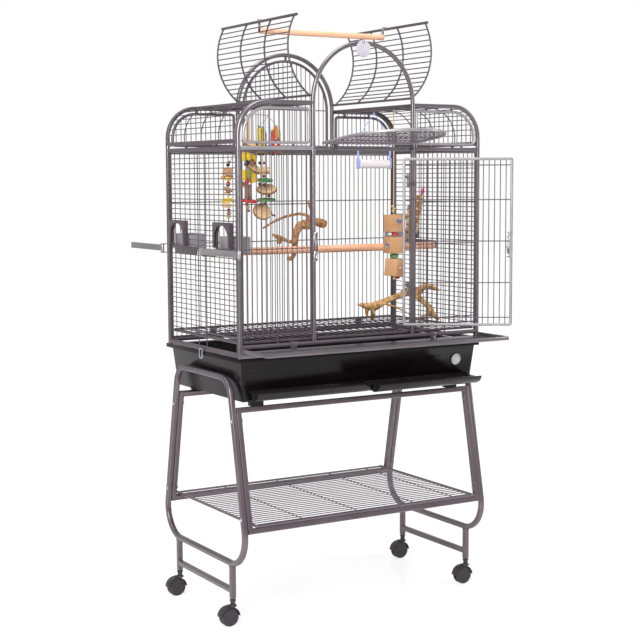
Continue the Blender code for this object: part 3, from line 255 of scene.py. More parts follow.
def finished(obj, name, node=None, body=CAGE, paint=None, slot="powder_coat", placed=False, angle=40):
    """Put a piece in place, shade, name and paint it, and let it ride on its body for its node."""
    if not placed:
        moved(obj, MIDDLE)
    alone(obj)
    bpy.ops.object.shade_smooth_by_angle(angle=math.radians(angle))
    obj.name = obj.data.name = name
    if paint:
        painted(obj, paint)
    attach(obj, body)
    if node:
        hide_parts(node)


def pair(obj, *names, **settings):
    """Finish a right-hand piece and its mirror image. {} stands for the side in its names."""
    for side, piece in (("left", mirrored(obj)), ("right", obj)):
        finished(piece, *[name.format(side) for name in names], **settings)

# %% [markdown]
# Wire is a curve with a round bevel, turned into a mesh. Straight runs that cross or meet are separate
# lengths that sink into each other, as welded wire does.

# %% Wire
def curve_of(lines, closed, **settings):
    """Curve through these points, flat or in space, with these curve settings."""
    curve = bpy.data.curves.new("curve", "CURVE")
    for key, value in settings.items():
        setattr(curve, key, value)
    for line in lines:
        spline = curve.splines.new("POLY")
        spline.points.add(len(line) - 1)
        spline.use_cyclic_u = closed
        for target, point in zip(spline.points, line):
            target.co = (*point, 0)[:3] + (1,)
    obj = bpy.data.objects.new("curve", curve)
    bpy.context.collection.objects.link(obj)
    return obj


def wire(lines, radius, rings=2, closed=False):
    settings = {"dimensions": "3D", "bevel_depth": radius, "bevel_resolution": rings}
    return meshed(curve_of(lines, closed, **settings, use_fill_caps=True))


def between(plane, ends, across):
    """Straight lines in a plane, as points in space."""
    return [[place(plane, *a, across), place(plane, *b, across)] for a, b in ends]

# %% [markdown]
# Square tube is drawn through a small die with rounded corners, then bent. A curve that carries a rounded
# square as its bevel object makes the same: the edges catch the light, which a sharp box never does.

# %% Square tube and flat strip
def set_down(obj, plane, across):
    """Turn a part that was drawn flat into its plane, this far along the plane's axis."""
    return outward(moved(obj, Matrix.Translation(place(plane, 0, 0, across)) @ FACING[plane]))


def tube(paths, size, edge, plane, across, closed=False, thick=None):
    deep = thick or size
    section = rounded(rectangle(-size / 2, size / 2, -deep / 2, deep / 2), [edge] * 4, steps=4)
    flat = {"dimensions": "2D", "fill_mode": "NONE"}
    profile = curve_of([section], True, **flat)
    run = curve_of(paths, closed, **flat, bevel_mode="OBJECT", bevel_object=profile, use_fill_caps=True)
    obj = meshed(run)
    bpy.data.objects.remove(profile)
    return set_down(obj, plane, across)

# %% [markdown]
# A flat piece with holes is a filled outline with a small bevel round every edge, as cut and coated sheet
# has. The outline is drawn in by the bevel, so that the piece keeps its size.

# %% Plate
def plate(loops, thick, edge, plane, across):
    rim = {"extrude": thick / 2 - edge, "bevel_depth": edge, "bevel_resolution": 1, "offset": -edge}
    return set_down(meshed(curve_of(loops, True, dimensions="2D", fill_mode="BOTH", **rim)), plane, across)

# %% [markdown]
# Small hard parts start as a cube or a cylinder of the right size and get their edges rounded by a Bevel
# modifier. Turned parts, such as a knob or a wheel, are a profile swept round an axis with Spin.

# %% Blocks, bars and turned parts
def with_bevel(obj, edge, steps=2, angle=30):
    alone(obj)
    bevel = obj.modifiers.new("bevel", "BEVEL")
    bevel.width = edge
    bevel.segments = steps
    bevel.limit_method = "ANGLE"
    bevel.angle_limit = math.radians(angle)
    bpy.ops.object.modifier_apply(modifier="bevel")
    return obj


def block(low, high, edge=0.0005, steps=2):
    middle = [(a + b) / 2 for a, b in zip(low, high)]
    size = [b - a for a, b in zip(low, high)]
    bpy.ops.object.select_all(action="DESELECT")
    bpy.ops.mesh.primitive_cube_add(size=1, location=middle, scale=size)
    obj = bpy.context.object
    bpy.ops.object.transform_apply(location=True, rotation=True, scale=True)
    return with_bevel(obj, edge, steps)


def bar(start, end, radius, sides=20, edge=0.0004):
    start, end = Vector(start), Vector(end)
    turn = (end - start).to_track_quat("Z", "Y").to_euler()
    bpy.ops.object.select_all(action="DESELECT")
    bpy.ops.mesh.primitive_cylinder_add(
        vertices=sides, radius=radius, depth=(end - start).length, location=(start + end) / 2, rotation=turn
    )
    obj = bpy.context.object
    bpy.ops.object.transform_apply(location=True, rotation=True, scale=True)
    return with_bevel(obj, edge, 2, 60) if edge else obj


def turned(profile, steps=32):
    """Profile of (radius, height) points swept round the Z axis."""
    bpy.ops.object.select_all(action="DESELECT")
    bpy.ops.mesh.primitive_plane_add(size=0.001)
    obj = bpy.context.object
    obj.data.clear_geometry()
    obj.data.from_pydata([(r, 0, z) for r, z in profile], [(i, i + 1) for i in range(len(profile) - 1)], [])
    bpy.ops.object.mode_set(mode="EDIT")
    bpy.ops.mesh.select_all(action="SELECT")
    bpy.ops.mesh.spin(steps=steps, angle=math.tau, center=(0, 0, 0), axis=(0, 0, 1))
    bpy.ops.object.mode_set(mode="OBJECT")
    return outward(obj)


def aimed(obj, start, way):
    """Move a part made at the origin along +Z to a start, pointing this way."""
    turn = Vector(way).to_track_quat("Z", "Y").to_matrix().to_4x4()
    return moved(obj, Matrix.Translation(start) @ turn)

# %% [markdown]
# Where a solid's shape is right and only its edges are too sharp, the piece is a copy of the solid: the
# loose triangles are merged, flat faces are joined again, and a Bevel modifier rounds the edges.

# %% Softened copy of a solid
def softened(node, edge, steps=2, angle=35):
    obj = bpy.data.objects.new("copy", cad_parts[node].data.copy())
    bpy.context.collection.objects.link(obj)
    alone(obj)
    bpy.ops.object.mode_set(mode="EDIT")
    bpy.ops.mesh.select_all(action="SELECT")
    bpy.ops.mesh.remove_doubles(threshold=0.00001)
    bpy.ops.mesh.dissolve_limited(angle_limit=math.radians(1.5))
    bpy.ops.object.mode_set(mode="OBJECT")
    return with_bevel(obj, edge, steps, angle)

# %% [markdown]
# Shader maths is written as sums. This class wraps a socket, and each operator adds one Math node.

# %% Shader maths
class Value:
    def __init__(self, paint, socket):
        self.paint = paint
        self.socket = socket

    def sum(self, operation, other):
        node = self.paint.tree.nodes.new("ShaderNodeMath")
        node.operation = operation
        self.paint.feed(node.inputs[0], self)
        self.paint.feed(node.inputs[1], other)
        return Value(self.paint, node.outputs[0])

    def __add__(self, other):
        return self.sum("ADD", other)

    def __sub__(self, other):
        return self.sum("SUBTRACT", other)

    def __mul__(self, other):
        return self.sum("MULTIPLY", other)

    __radd__ = __add__


class Paint:
    """A material under construction."""

    def __init__(self, name):
        self.material = bpy.data.materials.new(name)
        self.material.use_nodes = True
        self.tree = self.material.node_tree
        self.shader = self.tree.nodes["Principled BSDF"]
        self.at = self.node("ShaderNodeTexCoord", output="Object")

    def feed(self, socket, item):
        if isinstance(item, Value):
            self.tree.links.new(item.socket, socket)
        else:
            socket.default_value = item

    def node(self, kind, settings=None, inputs=None, output=0):
        made = self.tree.nodes.new(kind)
        for key, value in (settings or {}).items():
            setattr(made, key, value)
        for key, value in (inputs or {}).items():
            self.feed(made.inputs[key], value)
        return Value(self, made.outputs[output])

    def noise(self, scale, detail=3.0, rough=0.55, stretch=None):
        where = self.at
        if stretch:
            where = self.node("ShaderNodeMapping", inputs={"Vector": self.at, "Scale": stretch})
        inputs = {"Vector": where, "Scale": scale, "Detail": detail, "Roughness": rough}
        return self.node("ShaderNodeTexNoise", inputs=inputs, output="Fac")

    def ramp(self, value, low, high):
        """Mask that runs from 0 to 1 between two values."""
        inputs = {"Value": value, "From Min": low, "From Max": high}
        return self.node("ShaderNodeMapRange", {"clamp": True}, inputs, "Result")

    def mix(self, share, a, b):
        return self.node("ShaderNodeMix", {"data_type": "RGBA"}, {0: share, 6: a, 7: b}, 2)

    def bump(self, height, strength, distance):
        inputs = {"Height": height, "Strength": strength, "Distance": distance}
        self.set(Normal=self.node("ShaderNodeBump", inputs=inputs, output="Normal"))

    def set(self, **values):
        for key, value in values.items():
            self.feed(self.shader.inputs[key.replace("_", " ")], value)
        return self.material


def srgb(r, g, b):
    """Colour as seen on a screen, from 0 to 255, as the shader needs it."""
    parts = [v / 255 for v in (r, g, b)]
    return tuple(v / 12.92 if v <= 0.04045 else ((v + 0.055) / 1.055) ** 2.4 for v in parts) + (1,)


def dimmed(colour, share):
    return tuple(v * share for v in colour[:3]) + (1,)

# %% [markdown]
# All the steel of the cage has one finish: a grey powder coat with a touch of violet and fine metal flakes,
# a little uneven in colour, with a fine orange-peel skin and faint scuffs. Tubes, shelf, wires and the arms
# differ in tone and in how glossy they are. The stand's darker, browner copy of the coat is painted shade, and
# the arms' pale coat is also a painted highlight on the front gable rims, the rims of both doors and a rail.

# %% Powder coat
def powder_coat(name, dark, light, rough=0.34, metal=0.4, coat=0.55):
    p = Paint(name)
    cloud = p.noise(9.0, 4.0)
    flakes = p.noise(2600.0, 2.0, 0.7)
    scuff = p.ramp(p.noise(55.0, 6.0, 0.75), 0.66, 0.72)
    colour = p.mix(p.ramp(cloud, 0.3, 0.7), dark, light)
    colour = p.mix(p.ramp(flakes, 0.58, 0.75) * 0.2, colour, srgb(170, 167, 172))
    colour = p.mix(scuff * 0.12, colour, srgb(150, 146, 150))
    p.bump(flakes + p.noise(420.0, 2.0) * 0.8, 0.06, 0.0001)
    return p.set(
        Base_Color=colour, Roughness=rough + flakes * 0.08 + scuff * 0.08 - 0.04, Metallic=metal, IOR=1.5,
        Coat_Weight=coat, Coat_Roughness=0.14,
    )


COAT = powder_coat("powder_coat", srgb(110, 103, 109), srgb(126, 119, 125), 0.28, 0.78, 0.75)
# A darker, browner copy of the cage's coat for the stand: painted shade.
SHADED_STAND_COAT = powder_coat("powder_coat_stand", srgb(95, 85, 91), srgb(111, 100, 106), 0.28, 0.6, 0.7)
SHELF_COAT = powder_coat("powder_coat_shelf", srgb(108, 98, 104), srgb(122, 112, 118), 0.34, 0.5, 0.5)
WIRE_COAT = powder_coat("powder_coat_wire", srgb(80, 69, 77), srgb(94, 83, 91), 0.36, 0.4, 0.5)
# Pale coat of the swing arms. It is also a painted highlight on the front gable rims, the door rims and the left
# middle rail.
ARM_AND_HIGHLIGHT_COAT = powder_coat("powder_coat_arm_and_highlight", srgb(150, 146, 150), srgb(166, 162, 166), 0.34, 0.6, 0.5)

# %% [markdown]
# The tub, its trays and the plugs are black plastic. The tub is polished by its mould, so it is glossy, with
# faint flow marks across it and a little dust. The same dark plastic also stands as painted shade for the
# apron's holes and as a painted dark reflection on the door's catch.

# %% Black plastic
def plastic(name, colour, rough, flow=0.04, dust=0.10, skin=0.0, ior=1.5):
    p = Paint(name)
    marks = p.noise(3.0, 5.0, 0.6, (2.0, 2.0, 26.0))
    specks = p.ramp(p.noise(340.0, 4.0, 0.7), 0.62, 0.75)
    grime = p.ramp(p.noise(7.0, 6.0, 0.65), 0.5, 0.8)
    lighter = tuple(min(1.0, v * 1.7 + 0.006) for v in colour[:3]) + (1,)
    shade = p.mix(p.ramp(marks, 0.3, 0.75) * 0.5, colour, lighter)
    shade = p.mix(specks * dust, shade, srgb(150, 145, 142))
    p.bump(marks * 0.4 + p.noise(900.0, 2.0) * (0.3 + skin), 0.12 + skin * 0.3, 0.0003)
    return p.set(Base_Color=shade, Roughness=rough + marks * flow + grime * 0.10 + specks * 0.1, IOR=ior)


BLACK = plastic("black_plastic", srgb(14, 11, 12), 0.16, dust=0.04, ior=1.28)
TRAY_BLACK = plastic("tray_plastic", srgb(26, 22, 24), 0.22, dust=0.06, ior=1.36)
RUBBER = plastic("castor_plastic", srgb(48, 42, 46), 0.26, skin=0.3)
CUP_GREY = plastic("cup_plastic", srgb(132, 129, 133), 0.2, dust=0.15)
# Dark plastic for the latch levers. It is also painted shade on the apron's dots and a painted dark reflection on
# the door's catch.
DARK_PLASTIC_SHADE_REFLECTION = plastic("dark_plastic_shade_reflection", srgb(40, 36, 38), 0.42, skin=0.6)
BLUE = plastic("blue_plastic", srgb(146, 158, 218), 0.2, dust=0.05)
PALE = plastic("pale_plastic", srgb(212, 204, 204), 0.42, dust=0.25, skin=0.8)

# %% [markdown]
# Bolts, wing nuts and hooks are zinc plated: bright, slightly brushed, with dull patches.

# %% Bright steel
def steel(name, colour, rough, metal=1.0):
    p = Paint(name)
    brushed = p.noise(700.0, 4.0, 0.6, (1.0, 1.0, 0.12))
    dull = p.ramp(p.noise(60.0, 4.0), 0.45, 0.7)
    shade = p.mix(dull * 0.4, colour, dimmed(colour, 0.7))
    p.bump(brushed, 0.08, 0.0001)
    return p.set(Base_Color=shade, Roughness=rough + brushed * 0.12 + dull * 0.1, Metallic=metal)


STEEL = steel("bright_steel", srgb(196, 196, 200), 0.2)
DISC_GREY = steel("disc_plate", srgb(196, 192, 202), 0.42, 0.35)

# %% [markdown]
# Turned beech is pale and rosy, with fine darker pores that run along the dowel and soft growth bands. The
# grain is a noise that is stretched along the dowel's length.

# %% Dowel wood
def dowel_wood(name, pale, deep, axis=0):
    p = Paint(name)
    stretch = [1.0, 1.0, 1.0]
    stretch[axis] = 0.05
    pores = p.noise(900.0, 5.0, 0.7, tuple(stretch))
    bands = p.noise(90.0, 3.0, 0.5, tuple(stretch))
    soil = p.ramp(p.noise(24.0, 5.0), 0.5, 0.75)
    colour = p.mix(p.ramp(bands, 0.3, 0.7), pale, deep)
    colour = p.mix(p.ramp(pores, 0.55, 0.72) * 0.5, colour, srgb(158, 96, 62))
    colour = p.mix(soil * 0.3, colour, srgb(186, 134, 98))
    p.bump(pores, 0.3, 0.0004)
    return p.set(Base_Color=colour, Roughness=0.5 + pores * 0.2)


BEECH = dowel_wood("beech", srgb(238, 190, 158), srgb(220, 160, 124))

# %% [markdown]
# The branches are weathered vine wood, orange brown with dark cracks along them and pale worn ridges.

# %% Branch wood
def bark(name, pale, deep):
    p = Paint(name)
    ridges = p.noise(140.0, 8.0, 0.75)
    patches = p.noise(28.0, 5.0, 0.6)
    cracks = p.ramp(p.noise(95.0, 6.0, 0.8, (1.0, 1.0, 0.4)), 0.5, 0.42)
    colour = p.mix(p.ramp(patches, 0.35, 0.65), pale, deep)
    colour = p.mix(p.ramp(ridges, 0.5, 0.7) * 0.6, colour, srgb(232, 190, 136))
    colour = p.mix(cracks * 0.7, colour, srgb(96, 58, 32))
    p.bump(ridges + cracks * -0.8, 0.7, 0.0016)
    return p.set(Base_Color=colour, Roughness=0.62 + ridges * 0.25)


VINE = bark("vine_wood", srgb(206, 156, 104), srgb(160, 108, 66))
DRIFT = bark("drift_wood", srgb(222, 178, 118), srgb(184, 136, 82))

# %% [markdown]
# The toys are soft wood, bare or dyed, with cords. Dyed wood shows its grain through the colour.

# %% Toy finishes
def toy_wood(name, colour, wear=0.25, scale=260.0):
    p = Paint(name)
    grain = p.noise(scale, 5.0, 0.7, (1.0, 1.0, 0.18))
    patch = p.noise(30.0, 4.0)
    darker = dimmed(colour, 0.62)
    shade = p.mix(p.ramp(grain, 0.35, 0.7) * 0.6, colour, darker)
    shade = p.mix(p.ramp(patch, 0.5, 0.75) * wear, shade, srgb(222, 190, 150))
    p.bump(grain, 0.35, 0.0006)
    return p.set(Base_Color=shade, Roughness=0.6 + grain * 0.2)


BARE_TOY = toy_wood("toy_bare", srgb(222, 190, 148))
KRAFT = toy_wood("toy_kraft", srgb(202, 152, 108))
BROWN_TOY = toy_wood("toy_brown", srgb(150, 106, 72))
YELLOW = toy_wood("toy_yellow", srgb(232, 196, 24))
GREEN = toy_wood("toy_green", srgb(44, 140, 62))
RED = toy_wood("toy_red", srgb(206, 34, 40))
ORANGE = toy_wood("toy_orange", srgb(232, 130, 34))
TEAL = toy_wood("toy_blue", srgb(48, 140, 190))
OLIVE = toy_wood("toy_olive", srgb(150, 150, 40))
LIME = toy_wood("toy_lime", srgb(150, 190, 60))
MINT = toy_wood("toy_mint", srgb(110, 196, 176))
VIOLET = toy_wood("toy_violet", srgb(140, 70, 160))
PINK = toy_wood("toy_pink", srgb(226, 30, 110))
WINE = toy_wood("toy_wine", srgb(112, 36, 44))
NIGHT = toy_wood("toy_dark", srgb(58, 40, 50))
DULL = toy_wood("toy_strip", srgb(140, 118, 104))
SLICE = toy_wood("toy_slice", srgb(228, 188, 142), 0.4)
STRAW = toy_wood("toy_straw", srgb(206, 168, 108))
PALE_STRAW = toy_wood("toy_pale_straw", srgb(226, 212, 180))
RUSSET = toy_wood("toy_russet", srgb(180, 108, 58))


def rope(name, colour):
    p = Paint(name)
    strands = p.noise(1400.0, 3.0, 0.6, (1.0, 1.0, 0.5))
    shade = p.mix(p.ramp(strands, 0.35, 0.7), colour, dimmed(colour, 0.5))
    p.bump(strands, 0.6, 0.0006)
    return p.set(Base_Color=shade, Roughness=0.85)


SISAL = rope("sisal_cord", srgb(214, 190, 150))

# %% [markdown]
# The studio has one floor of polished white board and a white room round it. The camera sees both as white,
# while the object is lit at a plain level: a broad lamp at the upper left, a weaker one on the right.

# %% Floor
bpy.ops.object.select_all(action="DESELECT")
bpy.ops.mesh.primitive_plane_add(size=1, location=(0, 2, 0))
floor = bpy.context.object
floor.name = "studio_floor"
floor.scale = (26, 26, 1)
bpy.ops.object.transform_apply(location=True, rotation=True, scale=True)
p = Paint("studio_floor")
p.set(Base_Color=srgb(246, 245, 246), Roughness=p.noise(3.0) * 0.06 + 0.10, IOR=1.45)
glow = p.tree.nodes.new("ShaderNodeEmission")
away = p.node("ShaderNodeVectorMath", {"operation": "LENGTH"}, {0: p.at}, "Value")
p.feed(glow.inputs["Strength"], p.ramp(away, 0.5, 2.2) * 0.26 + 1.36)
blend = p.tree.nodes.new("ShaderNodeMixShader")
seen = p.node("ShaderNodeLightPath", output="Is Camera Ray")
p.feed(blend.inputs[0], seen * 0.5)
p.tree.links.new(p.shader.outputs[0], blend.inputs[1])
p.tree.links.new(glow.outputs[0], blend.inputs[2])
p.tree.links.new(blend.outputs[0], p.tree.nodes["Material Output"].inputs[0])
floor.data.materials.append(p.material)

# %% [markdown]
# The camera sees plain white around the cage. A dimmer, even light falls on it, with three soft lamps.

# %% World and lamps
scene = bpy.context.scene
scene.view_settings.view_transform = "Standard"
world = bpy.data.worlds.new("studio")
scene.world = world
world.use_nodes = True
tree = world.node_tree
tree.nodes.clear()
path, lit, white, either, choose, output = [
    tree.nodes.new("ShaderNode" + kind)
    for kind in ("LightPath", "Background", "Background", "Math", "MixShader", "OutputWorld")
]
lit.inputs["Color"].default_value = (1.0, 0.985, 0.995, 1)
lit.inputs["Strength"].default_value = 0.5
white.inputs["Color"].default_value = (1, 1, 1, 1)
either.operation = "MAXIMUM"
for source, target in (
    (path.outputs["Is Camera Ray"], either.inputs[0]), (path.outputs["Is Transmission Ray"], either.inputs[1]),
    (either.outputs[0], choose.inputs[0]), (lit.outputs[0], choose.inputs[1]),
    (white.outputs[0], choose.inputs[2]), (choose.outputs[0], output.inputs[0]),
):
    tree.links.new(source, target)


def lamp(name, at, aim, size, power):
    bpy.ops.object.light_add(type="AREA", location=at)
    obj = bpy.context.object
    obj.name = name
    obj.data.shape = "RECTANGLE"
    obj.data.size, obj.data.size_y = size
    obj.data.energy = power
    obj.rotation_euler = (Vector(aim) - Vector(at)).to_track_quat("-Z", "Y").to_euler()


lamp("lamp_left", (-2.6, -2.6, 2.4), (0, 0, 0.9), (1.2, 2.4), 150)
lamp("lamp_right", (3.2, -1.6, 1.8), (0, 0, 0.9), (0.6, 2.0), 36)
lamp("lamp_top", (-0.4, -0.4, 3.9), (0, 0, 0.8), (2.4, 2.0), 70)

# %% [markdown]
# The stand has two end frames. Each is one loop of square tube bent at four corners, on two upright posts
# for the castors, with a cross rail low between the posts.

# %% Stand ends
STAND_TUBE = 0.016
STAND_X = 0.4023
SPLAY = 0.198
LEG_Y = 0.187
LEG_Z = 0.578
STAND_TOP = 0.692
STAND_LOW = 0.175
TOP_BEND = 0.060
LOW_BEND = 0.085
POST_Y = 0.1719
POST_FOOT = 0.077
CROSS_Z = 0.0985
SIDE_TOP = 0.605
SIDE_LOW = 0.279


def leg_y(z):
    """How far the leg stands from the middle at this height."""
    return LEG_Y + SPLAY * (LEG_Z - z)


half = STAND_TUBE / 2
top_y, low_y = leg_y(STAND_TOP), leg_y(STAND_LOW)
corners = [(-low_y, STAND_LOW), (low_y, STAND_LOW), (top_y, STAND_TOP), (-top_y, STAND_TOP)]
loop = rounded(corners, [LOW_BEND, LOW_BEND, TOP_BEND, TOP_BEND], steps=14)
posts = [[(y, POST_FOOT), (y, STAND_LOW - 0.003)] for y in (-POST_Y, POST_Y)]
ring = rounded(rectangle(-half, half, -half, half), [0.003] * 4, steps=3)
welds = [[(STAND_X + u, y + v, STAND_LOW - half - 0.0002) for u, v in ring] for y in (-POST_Y, POST_Y)]
# The end frames take the stand's darker coat, which is painted shade.
pair(joined(
    tube([loop], STAND_TUBE, 0.0048, "X", STAND_X, closed=True),
    tube(posts, STAND_TUBE - 0.0006, 0.0028, "X", STAND_X),
    tube([[(0.002 - POST_Y, CROSS_Z), (POST_Y - 0.002, CROSS_Z)]], STAND_TUBE - 0.001, 0.0028, "X", STAND_X),
    wire(welds, 0.0012, 1, closed=True),
), "stand_end_tubes_{}", "stand_end_{}", paint=SHADED_STAND_COAT)

# %% [markdown]
# Between the ends stand two leaning frames of the same tube, with mitred corners. They are built upright
# and then leaned over, like the legs that they are bolted to.

# %% Stand sides
outer = STAND_X - half - GAP
inner = outer - STAND_TUBE
x = outer - half
slope = math.atan(SPLAY)
middle_z = (SIDE_TOP + SIDE_LOW) / 2
high = (SIDE_TOP - middle_z) / math.cos(slope)
rails = tube([[(-x, z), (x, z)] for z in (-high, high)], STAND_TUBE, 0.003, "Y", 0)
high += half - 0.0006
uprights = tube([[(s * x, -high), (s * x, high)] for s in (-1, 1)], STAND_TUBE - 0.0004, 0.003, "Y", 0)
rails = moved(rails, Matrix.Diagonal(((outer - 0.001) / x, 1, 1, 1)))
lean = Matrix.Translation((0, -leg_y(middle_z), middle_z)) @ Matrix.Rotation(-slope, 4, "X")
front_side = moved(joined(rails, uprights), lean)
rear_side = moved(copied(front_side), BACKWARD)
# The side frames take the stand's darker coat, which is painted shade.
finished(rear_side, "stand_side_tubes_rear", "stand_frame_rear", paint=SHADED_STAND_COAT)
finished(front_side, "stand_side_tubes_front", "stand_frame_front", paint=SHADED_STAND_COAT)

# %% [markdown]
# The bolts through each pair of tubes show a domed head outside and a nut inside, and bright washers.

# %% Bolts of the stand
def bolt_head(radius=0.0045, tall=0.0026):
    dome = [(radius * math.cos(a), tall * math.sin(a)) for a in (0, 0.4, 0.8, 1.2, 1.5708)]
    rim = radius + 0.0012
    return turned([(0.0001, -0.0006), (rim, -0.0006), (rim, 0.0002), (radius, 0.0002)] + dome, 20)


def nut():
    hexagon = bar((0, 0, 0), (0, 0, 0.003), 0.0042, 6, 0.0003)
    return joined(hexagon, bar((0, 0, 0.0026), (0, 0, 0.0046), 0.002, 12, 0.0004))


bolts = []
for side in (-1, 1):
    for s in (-1, 1):
        for z in (0.577, 0.312):
            y = s * leg_y(z)
            bolts.append(aimed(bolt_head(), (side * (STAND_X + half), y, z), (side, 0, 0)))
            bolts.append(aimed(nut(), (side * (inner - 0.0001), y, z), (-side, 0, 0)))
finished(joined(*bolts), "stand_bolts", paint=STEEL, slot="bright_steel")

# %% [markdown]
# The shelf is a grille of thin rods from end to end that lie over cross rods, inside thicker round rails.

# %% Shelf
SHELF_BARS = (-0.21, -0.027, 0.168, 0.31)
shelf_z = SIDE_LOW + half * (math.cos(slope) + math.sin(slope)) + GAP + 0.004
shelf_x = inner + GAP - 0.010
end_y = leg_y(SIDE_LOW) + 0.0085
deep = end_y - 0.003


def across(spots, up, radius, rings=2):
    """Rods from end to end of the shelf, this far above its middle."""
    z = shelf_z + up
    return wire([[(-shelf_x, y, z), (shelf_x, y, z)] for y in spots], radius, rings)


def along_y(spots, reach, up, radius, rings=2):
    """Rods from front to rear of the shelf."""
    z = shelf_z + up
    return wire([[(x, -reach, z), (x, reach, z)] for x in spots], radius, rings)


finished(joined(
    along_y((-shelf_x, shelf_x), end_y, 0, 0.004, 4), across((-deep, deep), -0.0006, 0.0032, 4),
    across(spread(-end_y - 0.006, end_y + 0.006, 0.0205), 0.0008, 0.0016),
    along_y(SHELF_BARS, deep, -0.0026, 0.0014),
), "shelf_wires", "shelf_grille", paint=SHELF_COAT)

# %% [markdown]
# A twin-wheel castor: two wheels on one axle under a moulded hood that turns on a steel stem. The wheels
# are turned from a profile with a dished face and a raised hub, and the tyre is a little rounded.

# %% Castors
WHEEL = 0.026
WHEEL_W = 0.0095
TRAIL = 0.013
AXLE = 0.003
wheel_in = 0.0028 + GAP * 2
w = wheel_in + WHEEL_W
wheel_profile = [
    (AXLE, wheel_in), (WHEEL - 0.003, wheel_in), (WHEEL - 0.0006, wheel_in + 0.0012), (WHEEL, wheel_in + 0.003),
    (WHEEL, w - 0.0036), (WHEEL - 0.0008, w - 0.0014), (WHEEL - 0.0032, w - 0.0003), (WHEEL - 0.0048, w),
    (WHEEL - 0.0056, w - 0.0012), (0.0125, w - 0.0012), (0.0118, w - 0.0002), (0.006, w), (0.0001, w),
]


def castor_wheels():
    wheel = aimed(turned(wheel_profile, 40), (0, 0, 0), (0, 1, 0))
    axle = bar((0, -wheel_in - 0.004, 0), (0, wheel_in + 0.004, 0), AXLE - GAP / 2, 16, 0)
    return joined(wheel, moved(copied(wheel), BACKWARD), axle)


def castor_hood():
    x = -TRAIL
    cover = arc((x, WHEEL), WHEEL + 0.0036, 4, 176, 20) + arc((x, WHEEL), WHEEL + 0.0014, 4, 176, 20)[::-1]
    web = [(x - 0.008, WHEEL - 0.006), (x + 0.008, WHEEL - 0.006)] + arc((x, WHEEL), WHEEL + 0.002, 25, 155, 8)
    base, top = WHEEL * 2 + 0.0012, POST_FOOT
    stem = [
        (0.0001, base), (0.0105, base), (0.0108, base + 0.0035), (0.0096, base + 0.0052),
        (0.0072, base + 0.0062), (0.0070, top - 0.0075), (0.0092, top - 0.0070), (0.0092, top - 0.0045),
        (0.0072, top - 0.0036), (0.0070, top - 0.0003), (0.0001, top - 0.0003),
    ]
    return joined(
        plate([cover], 2 * WHEEL_W + 0.010, 0.0008, "Y", 0), plate([web], 0.0054, 0.0006, "Y", 0),
        turned(stem, 28), block((x - 0.004, -0.0068, base - 0.0004), (0.004, 0.0068, base + 0.006), 0.0015),
    )


plastic_finish = {"paint": RUBBER, "slot": "castor_plastic"}
for name, sx, sy in (("front_left", -1, -1), ("front_right", 1, -1), ("rear_left", -1, 1), ("rear_right", 1, 1)):
    spot = Matrix.Translation((sx * STAND_X, sy * POST_Y, 0))
    hood = moved(castor_hood(), spot)
    finished(hood, "castor_hood_moulding_" + name, "castor_hood_" + name, "hood_" + name, **plastic_finish)
    wheels = moved(castor_wheels(), spot @ Matrix.Translation((-TRAIL, 0, WHEEL)))
    finished(wheels, "castor_wheel_pair_" + name, "castor_wheels_" + name, "wheels_" + name, **plastic_finish)

# %% [markdown]
# The base tub is one moulding with a flange round its top. Its solid has the right shape, so the piece is a
# softened copy of it, with the generous edges of a moulding.

# %% Base tub and trays
FLANGE = 0.011
TUB_H = 0.111
TUB_D = 0.437
TUB_TAPER = 0.0118
TUB_FOOT = CAGE_FOOT - GAP - FLANGE - TUB_H
moulded = {"slot": "black_plastic", "placed": True}
finished(softened("base_tub", 0.0016, 3), "tub_moulding", "base_tub", paint=BLACK, **moulded)
for name in ("tray_left", "tray_right"):
    piece_name = name.replace("_", "_moulding_")
    finished(softened(name, 0.0008, 2, 25), piece_name, name, name + "_slider", paint=TRAY_BLACK, **moulded)

# %% [markdown]
# The medallion on the tub's front is a thin turned disc with a raised rim and a slightly domed, bare face.

# %% Medallion
BADGE = 0.017
BADGE_UP = 0.072
badge_slope = math.atan(TUB_TAPER / TUB_H)
badge_y = -(TUB_D / 2 - TUB_TAPER + TUB_TAPER * BADGE_UP / (TUB_H + FLANGE / 2))
rim = [(0, -0.001), (0, 0.0003), (0.0005, 0.001), (0.0016, 0.001), (0.0022, 0.0004)]
face = [(r, 0.0009 - 0.0005 * (r / (BADGE - 0.0022)) ** 2) for r in (0.013, 0.010, 0.007, 0.003, 0.0001)]
badge = turned([(0.0001, -0.001)] + [(BADGE - inset, z) for inset, z in rim] + face, 40)
tilt = Matrix.Rotation(math.radians(90) + badge_slope, 4, "X")
moved(badge, Matrix.Translation((0.329, badge_y - 0.001 - 2 * GAP, TUB_FOOT + BADGE_UP)) @ tilt)
finished(badge, "medallion", "badge_blank", paint=STEEL, slot="bright_steel")

# %% [markdown]
# The seed apron is folded sheet: a tray with low edges all round, which hangs from two hooks over the front
# rail. Rows of small raised dots on its floor are painted dark: painted shade that stands for holes in the
# sheet. One is made and then copied along.

